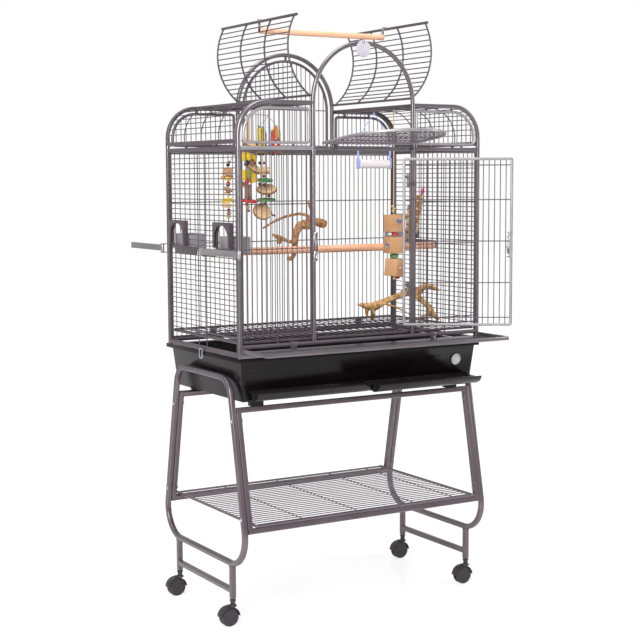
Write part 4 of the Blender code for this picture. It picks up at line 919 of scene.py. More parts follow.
# %% Seed apron
APRON_W = 0.800
APRON_D = 0.149
SHEET = 0.0015
LIP = 0.011
APRON_HOOKS = (-0.235, 0.235)
back = -HALF_D - GAP
front = back - APRON_D
side = APRON_W / 2
low_z = 0.7705
top_z, lip_z = low_z + SHEET, low_z + LIP
hook_z = FRONT_RAIL + TUBE + GAP
apron = [
    block((-side, front, low_z), (side, back, top_z), 0.0005),
    block((-side, back - SHEET, CAGE_FOOT + 0.001), (side, back, top_z - 0.0002), 0.0004),
    block((-side, front, low_z + 0.0002), (side, front + SHEET, lip_z), 0.0006),
]
for x in (-side, side - SHEET):
    apron.append(block((x, front + 0.0004, low_z + 0.0004), (x + SHEET, back, lip_z - 0.0002), 0.0006))
for x in APRON_HOOKS:
    apron.append(block((x - 0.01, back - SHEET, low_z + 0.0006), (x + 0.01, back, hook_z + SHEET), 0.0005))
    bend = (x + 0.01, TUBE - HALF_D - 0.002, hook_z + SHEET)
    apron.append(block((x - 0.01, back - SHEET, hook_z), bend, 0.0006))
# Each dot is painted dark, as painted shade where a hole would be.
hole_shade_dot = turned([(0.0022, -0.0002), (0.0019, 0.0005), (0.0011, 0.0009), (0.0001, 0.0011)], 8)
points, faces = [], []
for row, y in enumerate(spread(front + 0.012, back - 0.02, 0.021)):
    odd = row % 2
    for x in spread(-side + 0.01 + 0.006 * odd, side - 0.01 - 0.006 * (1 - odd), 0.0125):
        start = len(points)
        points += [(v.co.x + x, v.co.y + y, v.co.z + top_z) for v in hole_shade_dot.data.vertices]
        faces += [[i + start for i in face.vertices] for face in hole_shade_dot.data.polygons]
hole_shade_dot.data.clear_geometry()
hole_shade_dot.data.from_pydata(points, [], faces)
finished(assembled((COAT, *apron), (DARK_PLASTIC_SHADE_REFLECTION, hole_shade_dot)), "apron_sheet", "seed_apron", "apron_lift")

# %% [markdown]
# A wire hook on each side swings down past the flange and holds the cage on its tub.

# %% Base hooks
LATCH_Z = CAGE_FOOT + 0.008


def base_hook():
    x = HALF_W + 0.0036
    rear, front, high = -0.0105, 0.0065, LATCH_Z + 0.001
    bend = rounded(rectangle(rear, front, LATCH_Z - 0.028, high + 0.01), [0.005, 0.005, 0, 0], steps=6)
    line = [(rear, high)] + bend[:-2] + [(front, high)]
    return joined(
        wire([[(x, y, z) for y, z in line]], 0.0021, 3), bar((x, -0.0125, LATCH_Z), (x, 0.0085, LATCH_Z), 0.0021, 14)
    )


pair(base_hook(), "base_hook_{}", "base_latch_{}", "hook_{}", paint=STEEL, slot="bright_steel")

# %% [markdown]
# The front frame is bent and welded from small square tube: two shoulders that rise from the posts and turn
# in, one hoop that is the door's posts and the arch in one, and two level rails.

# %% Front and rear frame tubes
SOFT_EDGE = 0.0050
SUNK = 0.001
leg_in, wall_in = ARCH - TUBE, HALF_W - TUBE
mid = MID_RAIL + TUBE / 2
post = [(HALF_W - TUBE / 2, CAGE_FOOT), (HALF_W - TUBE / 2, TOP - CORNER)]
post += arc((HALF_W - CORNER, TOP - CORNER), CORNER - TUBE / 2, 5, 90, 16) + [(ARCH - 0.002, TOP - TUBE / 2)]


def hoop(radius, foot, steps=40, centre=ARCH_Z):
    """Upright line with a round top, from foot to foot."""
    return [(radius, foot)] + arc((0, centre), radius, 0, 180, steps) + [(-radius, foot)]


def uprights(hoop_foot, y):
    """Both corner posts with their shoulders, and the arch between them."""
    return tube([post, flipped(post), hoop(ARCH - TUBE / 2, hoop_foot)], TUBE, SOFT_EDGE, "Y", y)


def rails(y, *spans):
    """Level rails from one x to another, sunk a little into the tubes that they meet."""
    lines = [[(a - SUNK, z), (b + SUNK, z)] for a, b, z in spans]
    return tube(lines, TUBE - 0.0002, SOFT_EDGE, "Y", y)


front_parts = [
    uprights(FRONT_RAIL + TUBE - SUNK, FRONT),
    rails(FRONT, (-wall_in, wall_in, FRONT_RAIL + TUBE / 2), (-leg_in, leg_in, mid), (ARCH, wall_in, mid)),
]
# The left part of the middle rail is made apart so that it takes the pale coat, as a painted highlight.
highlit_left_rail = rails(FRONT, (-wall_in, -ARCH, mid))
rear_parts = [
    uprights(mid, REAR), rails(REAR, (-wall_in, wall_in, REAR_RAIL + TUBE / 2), (-wall_in, wall_in, mid)),
]

# %% [markdown]
# Hinges and pivots are small welded parts. Each hinge knuckle is a rolled barrel with a thin leaf, and the
# swing arms turn between two plates beside each corner post.

# %% Hinge and pivot parts of the frames
KNUCKLE = 0.0042
KNUCKLE_H = 0.018
DOOR_HINGES = (0.905, 1.215)
DOOR_AXIS = (ARCH - TUBE - 0.019, -HALF_D - 0.0084)
ARCH_HINGES = (-0.128, 0.128)
ARCH_AXIS = (-HALF_D - 0.008, MID_RAIL + TUBE / 2)
DISC_X, DISC_Z = -0.006, ARCH_Z + ARCH - TUBE + 0.009
ARM_Z = 1.025
ARM_H = 0.022
PIVOT_X = HALF_W + 0.0085
FRONT_PIVOT = -HALF_D - 0.0215
REAR_PIVOT = HALF_D + 0.009
GRATE_LEDGES = (-0.26, 0.26)


def door_knuckle(z):
    x, y = DOOR_AXIS
    low, high = z + 0.005, z + KNUCKLE_H - 0.005
    return [
        bar((x, y, z), (x, y, z + KNUCKLE_H), KNUCKLE, 24, 0.0005),
        block((x, y - 0.001, low), (ARCH - 0.002, y + 0.001, high), 0.0006),
        block((ARCH - TUBE + 0.001, y - 0.0005, low), (ARCH - 0.003, -HALF_D + 0.001, high), 0.0006),
        aimed(bolt_head(0.0022, 0.0014), (ARCH - 0.006, y - 0.001, z + 0.009), (0, -1, 0)),
    ]


def arch_knuckle(x):
    y, z = ARCH_AXIS
    barrel = bar((x, y, z), (x + 0.014, y, z), 0.004, 24, 0.0005)
    return [barrel, block((x + 0.001, y, z - 0.003), (x + 0.013, -HALF_D + 0.001, z + 0.003), 0.0005)]


def arm_plates(y, inner_y):
    """The two plates that an arm turns between, beside the right corner post."""
    low, high = (y - 0.006, inner_y) if y < inner_y else (inner_y, y + 0.006)
    return joined(*[
        block((HALF_W - 0.004, low, z), (PIVOT_X + 0.005, high, z + 0.002), 0.0006)
        for z in (ARM_Z - GAP - 0.002, ARM_Z + ARM_H + GAP)
    ])


front_parts += [part for z in DOOR_HINGES for part in door_knuckle(z)]
front_parts += [part for x in ARCH_HINGES for part in arch_knuckle(x)]
front_parts.append(moved(arm_plates(FRONT_PIVOT, -HALF_D + 0.006), MIRROR))
finished(assembled((COAT, *front_parts), (ARM_AND_HIGHLIGHT_COAT, highlit_left_rail)), "front_frame_tubes", "front_frame")

shank = bar((DISC_X, -HALF_D + 0.002, DISC_Z), (DISC_X, -HALF_D - 0.0042, DISC_Z), 0.002, 16, 0)
head = aimed(bolt_head(0.0036, 0.0018), (DISC_X, -HALF_D - 0.0029, DISC_Z), (0, -1, 0))
finished(joined(shank, head), "disc_screw", paint=STEEL, slot="bright_steel")

ledge_z = FRONT_RAIL + TUBE + GAP + SHEET
for x in GRATE_LEDGES:
    corner = (x + 0.012, REAR - 0.0055, ledge_z)
    rear_parts.append(block((x - 0.012, REAR - TUBE, ledge_z - 0.0015), corner, 0.0005))
    rear_parts.append(block((x - 0.012, REAR - 0.0071, REAR_RAIL + 0.004), corner, 0.0005))
plates = arm_plates(REAR_PIVOT, HALF_D - 0.006)
finished(joined(*rear_parts, mirrored(plates), plates), "rear_frame_tubes", "rear_frame", paint=COAT)

# %% [markdown]
# Each grille is a rim of flat strip with thin wires on one face and cross wires on the other, welded where
# they cross. One helper makes them all.

# %% Grilles
WIRE_OUT = 0.0018
BAR_OUT = 0.0016


def grille(plane, across, facing, outline, hole, wires, bars):
    return joined(
        plate([outline, hole], PANEL, 0.0012, plane, across),
        wire(between(plane, wires, across + facing * WIRE_OUT), WIRE),
        wire(between(plane, bars, across - facing * BAR_OUT), BAR),
    )


def framed(left, right, foot, top, across, facing, heights):
    inner = rectangle(left + EDGE, right - EDGE, foot + EDGE, top - EDGE)
    sunk = EDGE / 2
    wires = [((x, foot + sunk), (x, top - sunk)) for x in spread(left, right, PITCH)]
    bars = [((left + sunk, z), (right - sunk, z)) for z in heights]
    return grille("Y", across, facing, rectangle(left, right, foot, top), inner, wires, bars)


foot = FRONT_RAIL + TUBE + SLOT
panel = framed(ARCH + GAP, INSIDE_W, foot, MID_RAIL - GAP, FRONT, -1, CROSS_BARS)
x, y = (ARCH + HALF_W - TUBE) / 2, FRONT + 0.0006
strut = wire([[(x, y, FRONT_RAIL + TUBE + GAP), (x, y, foot + 0.002)]], 0.002, 3)
pair(joined(panel, strut), "front_wires_{}", "front_grille_{}", paint=WIRE_COAT)
panel = framed(-INSIDE_W, INSIDE_W, REAR_RAIL + TUBE + GAP, MID_RAIL - GAP, REAR, 1, CROSS_BARS[1:])
finished(panel, "back_wires", "back_grille", paint=WIRE_COAT)

# %% [markdown]
# A gable grille sits inside each rounded shoulder: a loop of rod with upright wires, held off the tube by
# four small clips.

# %% Gable grilles
CLIP_FOOT = MID_RAIL + TUBE + GAP
GABLE_LOW = MID_RAIL + TUBE + 0.0055
INSET = 0.006


def clip(x, y, low, high):
    return block((x, y - 0.003, low), (x + 0.006, y + 0.003, high), 0.0008)


def arched_wires(width, reach, foot, centre):
    """Upright wires from a foot to a round top."""
    tops = [(x, centre + math.sqrt(max(reach ** 2 - x * x, 0))) for x in spread(-width, width, PITCH)]
    return [((x, foot), (x, top)) for x, top in tops]


def gable(y, facing, rim_painted_light):
    left, right, top = ARCH + 0.004, HALF_W - TUBE - INSET, TOP - TUBE - INSET
    bend = CORNER - TUBE - INSET
    corners = rectangle(left, right, GABLE_LOW, top)
    middle_line = rounded(corners, [0.012, 0.012, bend, 0.012], grow=-LOOP / 2, steps=10)
    wires = []
    for x in spread(left, right, PITCH):
        over = max(x - (right - bend), 0)
        drop = bend - math.sqrt(max(bend * bend - over * over, 0))
        end = TOP - TUBE / 2 if facing > 0 and not over else top - drop - LOOP / 2
        wires.append(((x, GABLE_LOW + LOOP / 2), (x, end)))
    clips = [clip(x, y, top - 0.002, TOP - TUBE - GAP) for x in (left + 0.035, right - bend - 0.01)]
    clips += [clip(x, y, CLIP_FOOT, GABLE_LOW + 0.002) for x in (left + 0.05, right - 0.05)]
    return assembled(
        (rim_painted_light, tube([middle_line], LOOP, 0.0036, "Y", y, closed=True)),
        (WIRE_COAT, wire(between("Y", wires, y + facing * WIRE_OUT), WIRE)), (COAT, *clips),
    )


# The front rims take the pale coat as a painted highlight, and the rear rims take the darker wire coat as painted
# shade.
for name, y, facing, rim_painted_light in (("front", FRONT, -1, ARM_AND_HIGHLIGHT_COAT), ("rear", REAR, 1, WIRE_COAT)):
    pair(gable(y, facing, rim_painted_light), "gable_" + name + "_{}_wires", "gable_" + name + "_{}")

radius = ARCH - TUBE - 0.009
reach = radius - LOOP / 2
foot = GABLE_LOW + LOOP / 2
finished(joined(
    tube([hoop(reach, foot, 36)], LOOP, 0.0034, "Y", REAR, closed=True),
    wire(between("Y", arched_wires(radius, reach, foot, ARCH_Z), REAR + WIRE_OUT), WIRE),
    wire(between("Y", [((-reach, ARCH_Z), (reach, ARCH_Z))], REAR - BAR_OUT), BAR),
    *[clip(x, REAR, CLIP_FOOT, GABLE_LOW + 0.002) for x in (-0.1, 0.09)],
    clip(-0.003, REAR, ARCH_Z + radius - 0.002, ARCH_Z + ARCH - TUBE - 0.0005),
), "rear_arch_wires", "gable_rear_middle", paint=WIRE_COAT)

# %% [markdown]
# The side panels are woven the other way: level wires between two edge strips, with two uprights. Arched
# feeder windows are cut in sheet plates with a jamb on both sides: two on the left, and one on the right at
# the rear. A strap carries each cup, which fills the lower half of its window from inside.

# %% Side panels
WINDOW_Y = (-0.1375, 0.147)
WINDOW_W = 0.084
WINDOW_Z = 1.047
WINDOW_H = 0.064
PLATE_LOW = WINDOW_Z - 0.007
PLATE_TOP = WINDOW_Z + WINDOW_H + 0.009
CUP_DEEP = 0.055
CUP_H = 0.046
CUP_TOP = WINDOW_Z + 0.034
JAMB = 0.0125


def window(y):
    """Plate with an arched hole, the jambs of its housing, and the housing's round-headed face."""
    half, foot = WINDOW_W / 2, WINDOW_Z + 0.003
    wide = half + 0.007
    corners = rectangle(y - half, y + half, WINDOW_Z, WINDOW_Z + WINDOW_H)
    hole = rounded(corners, [0.002, 0.002, half * 0.55, half * 0.55], steps=8)
    corners = rectangle(y - half + 0.001, y + half - 0.001, foot + 0.001, PLATE_TOP - 0.0075)
    arch = rounded(corners, [0.001, 0.001, half - 0.003, half - 0.003], steps=14)
    face = rectangle(y - half - 0.0065, y + half + 0.0065, foot, PLATE_TOP)
    return [
        plate([rectangle(y - wide, y + wide, PLATE_LOW, PLATE_TOP), hole], 0.0064, 0.0009, "X", SIDE),
        plate([face, arch], 0.0018, 0.0005, "X", SIDE + JAMB - 0.001),
        *[block((SIDE + 0.002, edge - 0.0012, foot), (SIDE + JAMB, edge + 0.0012, PLATE_TOP), 0.0007)
          for edge in (y - wide, y + wide)],
    ]


def side_panel(windows):
    low, high = CAGE_FOOT + 0.002, MID_RAIL + TUBE
    inside, sunk, wide = INSIDE_D - EDGE, INSIDE_D - EDGE / 2, WINDOW_W / 2 + 0.004
    hole = rectangle(-inside, inside, low + TUBE, high - TUBE)
    parts = [plate([rectangle(-INSIDE_D, INSIDE_D, low, high), hole], TUBE - 0.002, 0.0016, "X", SIDE)]
    wires = []
    for z in spread(low + TUBE + 0.012, high - TUBE - 0.004, ROW_PITCH):
        ends = [-sunk, sunk]
        if PLATE_LOW - WIRE < z < PLATE_TOP + WIRE:
            ends[1:1] = [end for y in windows for end in (y - wide, y + wide)]
        wires += [((a, z), (b, z)) for a, b in zip(ends[::2], ends[1::2])]
    parts.append(wire(between("X", wires, SIDE + WIRE_OUT), WIRE))
    bars = [((y, low + TUBE / 2), (y, high - TUBE / 2)) for y in (-0.02, 0.03)]
    parts.append(wire(between("X", bars, SIDE - BAR_OUT), BAR))
    foot = CUP_TOP - CUP_H - GAP
    for y in windows:
        parts += window(y)
        parts.append(block((SIDE - 0.022, y - 0.02, foot - 0.002), (SIDE, y + 0.02, foot), 0.0006))
        corner = (SIDE + 0.003, y + 0.018, WINDOW_Z - 0.004)
        parts.append(block((SIDE - 0.001, y - 0.018, foot - 0.0016), corner, 0.0006))
    top = ARM_Z + ARM_H
    parts.append(block((HALF_W - 0.0005, 0.022, ARM_Z), (HALF_W + 0.0025, 0.165, top), 0.0008))
    for y in (0.034, 0.155):
        parts.append(block((SIDE + 0.001, y - 0.004, ARM_Z + 0.004), (HALF_W + 0.001, y + 0.004, top), 0.0006))
    for y in (-0.018, 0.012):
        parts.append(bar((HALF_W - 0.004, y, LATCH_Z), (HALF_W + 0.0055, y, LATCH_Z), 0.003, 16))
    return joined(*parts)


finished(moved(side_panel(WINDOW_Y), MIRROR), "side_wires_left", "side_panel_left", paint=WIRE_COAT)
finished(side_panel(WINDOW_Y[1:]), "side_wires_right", "side_panel_right", paint=WIRE_COAT)

# %% [markdown]
# Each roof grille bends over the shoulder on ribs of flat strip, with its wires running from front to rear,
# between a side rail and a top beam of tube.

# %% Roofs
ROOF_LOW = MID_RAIL + TUBE + 0.006
end = INSIDE_D


def roof_line(inset):
    bend = arc((HALF_W - CORNER, TOP - CORNER), CORNER - inset, 0, 90, 18)
    return [(HALF_W - inset, ROOF_LOW + 0.004)] + bend + [(ARCH + 0.006, TOP - inset)]


skin = [[(x, 0.003 - end, z), (x, end - 0.003, z)] for x, z in along(roof_line(0.0024), PITCH, 0.012)]
pair(joined(
    *[tube([roof_line(0.003)], 0.006, 0.0018, "Y", y) for y in (0.003 - end, end - 0.003)],
    *[tube([roof_line(0.0058)], 0.0028, 0.0009, "Y", y, thick=0.003) for y in (-end / 2, 0.0, end / 2)],
    wire(skin, WIRE),
    block((HALF_W - 0.010, 0.001 - end, ROOF_LOW), (HALF_W - 0.0005, end - 0.001, ROOF_LOW + TUBE), 0.002, 3),
    block((ARCH + GAP, 0.001 - end, TOP - TUBE), (ARCH + 0.010, end - 0.001, TOP - 0.0005), 0.002, 3),
    *[block((HALF_W - 0.008, y, CLIP_FOOT), (HALF_W - 0.003, y + 0.01, ROOF_LOW + 0.002), 0.0008)
      for y in (-0.1, 0.09)],
), "roof_wires_{}", "roof_{}", paint=WIRE_COAT)

# %% [markdown]
# The floor grate lies on the front rail and two rear ledges.

# %% Floor grate
half_g, end, sunk = HALF_W - TUBE - 0.003, INSIDE_D - 0.0005, EDGE / 2
hole = rectangle(EDGE - half_g, half_g - EDGE, EDGE - end, end - EDGE)
wires = [((x, sunk - end), (x, end - sunk)) for x in spread(-half_g, half_g, PITCH * 1.5)]
bars = [((sunk - half_g, y), (half_g - sunk, y)) for y in (-0.11, 0.0, 0.11)]
z = ledge_z + GAP + PANEL / 2
panel = grille("Z", z, 1, rectangle(-half_g, half_g, -end, end), hole, wires, bars)
finished(panel, "grate_wires", "floor_grate", paint=WIRE_COAT)

# %% [markdown]
# A top flap is a curved grille on a round hinge rod, with ribs of strip, wires from front to rear and a
# heavy bar along its free edge. Wing nuts on both bars hold the perch between the open flaps.

# %% Top flaps
FLAP_CHORD = 0.2207
FLAP_R = 0.165
FLAP_OPEN = 102.0
FLAP_BAR = 0.004
FLAP_WIRE = 0.0017
FLAP_PITCH = 0.0155
FLAP_AXIS = (0.170, TOP + 0.015)


def flap_curve(inset=0.0):
    lean = math.radians(180 - FLAP_OPEN)
    way = Vector((math.cos(lean), math.sin(lean)))
    out = Vector((math.sin(lean), -math.cos(lean)))
    start = Vector(FLAP_AXIS)
    centre = start + way * FLAP_CHORD / 2 - out * math.sqrt(FLAP_R ** 2 - (FLAP_CHORD / 2) ** 2)
    ends = [point - centre for point in (start, start + way * FLAP_CHORD)]
    return arc(tuple(centre), FLAP_R - inset, *[math.degrees(math.atan2(v.y, v.x)) for v in ends], 28)


line = flap_curve()
end = INSIDE_D - 0.001
(x, z), (u, v) = FLAP_AXIS, line[-1]
rods = [[(a, 0.004 - end, b), (a, end - 0.004, b)] for a, b in along(line, FLAP_PITCH, 0.004)]
pair(joined(
    *[tube([line], 0.005, 0.0016, "Y", y, thick=0.004) for y in (0.004 - end, end - 0.004)],
    *[tube([flap_curve(0.0034)], 0.005, 0.0012, "Y", y, thick=0.0034) for y in (-end / 3, end / 3)],
    wire(rods, FLAP_WIRE), bar((x, -INSIDE_D, z), (x, INSIDE_D, z), 0.0034, 20, 0.0005),
    bar((u, -end - 0.008, v), (u, end + 0.008, v), FLAP_BAR, 20, 0.0006),
), "flap_wires_{}", "flap_{}", "flap_{}_leaf", paint=WIRE_COAT)

# %% [markdown]
# The front door is a frame of thin square tube with upright wires and five cross bars. It is made closed,
# about its hinge axis, and then swung open like the solid.

# %% Front door
DOOR_FOOT = 0.8155
DOOR_H = 0.4815
DOOR_EDGE = 0.008
DOOR_FIT = 0.003
DOOR_OPEN = 147.0
DOOR_BARS = (0.025, 0.125, 0.244, 0.362, 0.460)
DOOR_SWING = Matrix.Translation((*DOOR_AXIS, 0)) @ Matrix.Rotation(math.radians(DOOR_OPEN), 4, "Z")
x, y = DOOR_AXIS
across, sunk, wide = FRONT - y, DOOR_EDGE / 2, ARCH - TUBE - DOOR_FIT
left, right, foot, top = sunk - wide - x, wide - x - sunk, DOOR_FOOT + sunk, DOOR_FOOT + DOOR_H - sunk
rim = rounded(rectangle(left, right, foot, top), [0.004] * 4, steps=5)
wires = [((u, foot), (u, top)) for u in spread(left, right, PITCH)]
bars = [((left, DOOR_FOOT + v), (right, DOOR_FOOT + v)) for v in DOOR_BARS]
hinges, leaf = [], wide - x - 0.003
for z in DOOR_HINGES:
    low = z + KNUCKLE_H + GAP
    foot, top = low + 0.005, low + KNUCKLE_H - 0.005
    hinges += [
        bar((0, 0, low), (0, 0, low + KNUCKLE_H), KNUCKLE, 24, 0.0005),
        block((0, -0.001, foot), (leaf, 0.0015, top), 0.0006),
        block((leaf - 0.004, 0, foot), (leaf, across - 0.003, top), 0.0006),
    ]
# The door's frame takes the pale coat, as a painted highlight.
door = assembled(
    (ARM_AND_HIGHLIGHT_COAT, tube([rim], DOOR_EDGE, 0.0028, "Y", across, closed=True)),
    (WIRE_COAT, wire(between("Y", wires, across - WIRE_OUT), WIRE),
     wire(between("Y", bars, across + BAR_OUT), BAR)),
    (COAT, *hinges),
)
finished(moved(door, DOOR_SWING), "front_door_wires", "front_door", "front_door_leaf")

# %% [markdown]
# The latch on the door's free edge is open wirework: a loop of bright wire held by two clips, a rod with a
# spring that slides in them, and dark plastic levers at both ends.

# %% Door latch
LATCH_AT = 1.048
latch_x = -wide - DOOR_AXIS[0]
face = FRONT - DOOR_AXIS[1] - 0.004 - GAP


def on_door(*points):
    """Points in mm, from the door's edge, out from its face and up from the latch's middle."""
    return [(latch_x + u / 1000, face - out / 1000, LATCH_AT + z / 1000) for u, out, z in points]


coil = []
for i in range(97):
    angle = math.tau * i / 16
    coil.append((8.5 + 3.4 * math.cos(angle), 7 + 3.4 * math.sin(angle), -2 - 22 * i / 96))
levers = [
    [(13, 10, 37), (9.8, 11.8, 26), (8.6, 9, 12)], [(15.2, 10, -5), (11.2, 11.8, -16), (8.6, 9, -27)],
    [(4.6, 10, 31), (1.4, 8.5, 25)], [(3, 10.5, -17), (1.2, 9.5, -26), (2, 8.5, -34)],
    [(12.5, 8, -33), (8, 9.5, -35.5)],
]
loop = on_door((2.2, 4, -34.5), (14.2, 4, -34.5), (14.2, 4, 34.5), (2.2, 4, 34.5))
latch = assembled(
    (STEEL, wire([loop], 0.0015, 3, closed=True), bar(*on_door((8.5, 7, -36), (8.5, 7, 36)), 0.0021, 18),
     *[block(*on_door((1, 9.5, z - 1.5), (15.5, 0, z + 1.5)), 0.0005) for z in (-30, 30)],
     wire([on_door(*coil)], 0.0006, 1)),
    (DARK_PLASTIC_SHADE_REFLECTION, *[wire([on_door(*line)], 0.0018, 3) for line in levers]),
)
latch = moved(latch, DOOR_SWING)
finished(latch, "door_latch_wirework", "door_latch", "door_latch_slider", slot="bright_steel")

# %% [markdown]
# The arch door is a loop with a round top, made upright and then laid forward on its two hinges.

# %% Arch door
ARCH_DOOR_R = 0.150
ARCH_DOOR_OPEN = 83.5
y, z = ARCH_AXIS
across = FRONT - y
low = MID_RAIL + TUBE + 0.0015 - z
middle, foot, reach = ARCH_Z - z, low + LOOP / 2, ARCH_DOOR_R - LOOP / 2
parts = [
    wire(between("Y", arched_wires(ARCH_DOOR_R, reach, foot, middle), across - WIRE_OUT), WIRE),
    wire(between("Y", [((-reach, v), (reach, v)) for v in (0.055, 0.1275)], across + BAR_OUT), BAR),
]
for x in ARCH_HINGES:
    a, b = x + 0.015 + GAP, x + 0.027 + GAP
    parts += [
        bar((a - 0.001, 0, 0), (b + 0.001, 0, 0), 0.004, 24, 0.0005),
        block((a, -0.001, 0), (b, 0.001, low + 0.004), 0.0005),
        block((a, -0.001, low + 0.001), (b, across - 0.002, low + 0.004), 0.0005),
    ]
rim = tube([hoop(reach, foot, 36, middle)], LOOP, 0.0034, "Y", across, closed=True, thick=0.0075)
tip = Matrix.Translation((0, *ARCH_AXIS)) @ Matrix.Rotation(math.radians(ARCH_DOOR_OPEN), 4, "X")
# The arch door's rim takes the pale coat, as a painted highlight.
arch_door = moved(assembled((ARM_AND_HIGHLIGHT_COAT, rim), (WIRE_COAT, *parts)), tip)
finished(arch_door, "arch_door_wires", "arch_door", "arch_door_leaf")

# %% [markdown]
# A pressed disc hangs from its screw at the top of the arch, and turns to hold the arch door shut.

# %% Arch disc
disc = softened("arch_disc", 0.0005, 2, 50)
finished(disc, "arch_disc_plate", "arch_disc", "arch_disc_turn", DISC_GREY, "bright_steel", True)

# %% [markdown]
# The catch on the left arch leg is a rod between two bright wire loops. The rod and its small heads are painted
# dark, as a painted dark reflection of chrome. The door's latch drops behind it.

# %% Door staple
x, y = TUBE - ARCH, -HALF_D
bright = []
for low, high, wide in ((1.0120, 1.0370, 0.0092), (1.0630, 1.0900, 0.0082)):
    line = [(x - wide, y - 0.002, low), (x - 0.001, y - 0.005, low), (x, y - 0.006, high)]
    bright.append(wire([line + [(x - wide + 0.002, y - 0.002, high)]], 0.0019, 3, closed=True))
    bright.append(aimed(bolt_head(0.0034, 0.0018), (x - 0.006, y + 0.0004, (low + high) / 2), (0, -1, 0)))
# The rod and the heads on it are painted dark, as a painted dark reflection of chrome.
dark = [bar((x - 0.001, y - 0.0045, 1.027), (x - 0.001, y - 0.0045, 1.076), 0.0022, 18, 0.0006)]
for z in (1.0150, 1.0800, 1.0870):
    dark.append(aimed(bolt_head(0.0024, 0.0016), (x - 0.002, y - 0.0052, z), (0, -1, 0)))
finished(assembled((STEEL, *bright), (DARK_PLASTIC_SHADE_REFLECTION, *dark)), "door_staple", slot="bright_steel")

# %% [markdown]
# The feeder cups are moulded, with soft edges and a bead round the rim. The arms that close over their
# windows are flat bars that turn on a riveted barrel.

# %% Feeder cups and swing arms
CUP_BACK = SIDE - 0.005 - GAP
FEEDERS = (
    ("front_left", -1, WINDOW_Y[0], FRONT_PIVOT), ("rear_left", -1, WINDOW_Y[1], REAR_PIVOT),
    ("rear_right", 1, WINDOW_Y[1], REAR_PIVOT),
)


def cup_rim(y):
    half, inset = WINDOW_W / 2 - 0.003, 0.0012
    corners = rectangle(CUP_BACK - CUP_DEEP + inset, CUP_BACK - inset, y - half + inset, y + half - inset)
    line = [(u, v, CUP_TOP - 0.0014) for u, v in rounded(corners, [0.004] * 4, steps=6)]
    return wire([line], 0.0014, 2, closed=True)


for place_name, sx, y, pivot in FEEDERS:
    node = "feeder_cup_" + place_name
    rim = moved(moved(cup_rim(y), Matrix.Diagonal((sx, 1, 1, 1))), MIDDLE)
    cup = joined(softened(node, 0.0009, 2), rim)
    name = "feeder_cup_moulding_" + place_name
    finished(cup, name, node, "cup_" + place_name, CUP_GREY, "cup_plastic", True)
    heads = []
    for z, way in ((ARM_Z + ARM_H + GAP + 0.002, 1), (ARM_Z - GAP - 0.002, -1)):
        heads.append(aimed(bolt_head(0.0032, 0.0016), (sx * PIVOT_X, pivot, z), (0, 0, way)))
    finished(joined(*heads), "arm_rivets_" + place_name, paint=STEEL, slot="bright_steel")
    node = "swing_arm_" + place_name
    name = "swing_arm_bar_" + place_name
    finished(softened(node, 0.0006, 2, 30), name, node, "arm_" + place_name, ARM_AND_HIGHLIGHT_COAT, placed=True)

# %% [markdown]
# The perches are beech dowels with softened ends. Bolts go through the side panels and the flaps' bars into
# the dowels, with broad washers and wing nuts outside.

# %% Perches
PERCH_Z = 1.031


def dowel(reach, z, radius):
    """A turned dowel across the cage, with rounded shoulders and slight waists."""
    long = 2 * reach
    end = [(0.0001, 0), (radius - 0.0022, 0), (radius - 0.0008, 0.0006), (radius, 0.0022)]
    steps = max(6, round(long / 0.02))
    waists = [(radius - 0.00012 * (i % 3), 0.0022 + (long - 0.0044) * i / steps) for i in range(1, steps)]
    profile = end + waists + [(r, long - z) for r, z in end[::-1]]
    return aimed(turned(profile, 36), (-reach, 0, z), (1, 0, 0))


def wing_nut(size):
    """A wing nut made at the origin, its axis along +Z."""
    hub = [(0.0001, 0), (size * 0.42, 0), (size * 0.4, size * 0.1), (size * 0.3, size * 0.42)]
    wing = [(size * u, size * v) for u, v in ((0.2, 0.06), (0.8, 0.16), (1.1, 0.5), (0.7, 0.46), (0.2, 0.34))]
    wings = [plate([line], 0.0012, 0.0003, "Y", 0) for line in (flipped(wing), wing)]
    return joined(turned(hub + [(0.0001, size * 0.42)], 20), *wings)


outside, reach = SIDE + WIRE_OUT + WIRE + GAP, SIDE + WIRE_OUT - WIRE - GAP
finished(dowel(reach, PERCH_Z, 0.011), "long_perch_dowel", "long_perch", paint=BEECH, slot="perch_wood")
washer = [(0.0032, 0), (0.0086, 0), (0.009, 0.0004), (0.009, 0.0011), (0.0086, 0.0015), (0.0032, 0.0015)]
metal = []
for s in (-1, 1):
    metal += [
        aimed(turned(washer, 28), (s * outside, 0, PERCH_Z), (s, 0, 0)),
        bar((s * (reach - 0.004), 0, PERCH_Z), (s * (HALF_W + 0.003), 0, PERCH_Z), 0.003),
        aimed(wing_nut(0.009), (s * (outside + 0.0015), 0, PERCH_Z), (s, 0, 0)),
    ]
finished(joined(*metal), "long_perch_bolts", paint=STEEL, slot="bright_steel")

end_x, end_z = flap_curve()[-1]
reach, low = end_x - FLAP_BAR - GAP, end_z - 0.024
perch = dowel(reach, low, 0.0085)
finished(perch, "top_perch_dowel", "top_perch", "flap_left_leaf", BEECH, "perch_wood")
metal = []
for s in (-1, 1):
    a, b = sorted((s * (reach - 0.003), s * reach))
    metal += [
        block((a, -0.006, low - 0.004), (b, 0.006, end_z + 0.006), 0.0009),
        aimed(bolt_head(0.0034, 0.0016), (s * (reach - 0.003), 0, end_z + 0.001), (-s, 0, 0)),
        aimed(wing_nut(0.007), (s * (end_x - 0.012), 0, low + 0.0083), (0, 0, 1)),
        aimed(wing_nut(0.0075), (s * (end_x - 0.001), -0.007, end_z + 0.0036), (0, 0, 1)),
    ]
finished(joined(*metal), "top_perch_clips", body="flap_left_leaf", paint=STEEL, slot="bright_steel")

# %% [markdown]
# The roller swing is one bent wire in a blue sleeve, which carries a pale roller with fine grooves between
# two blue end blocks.

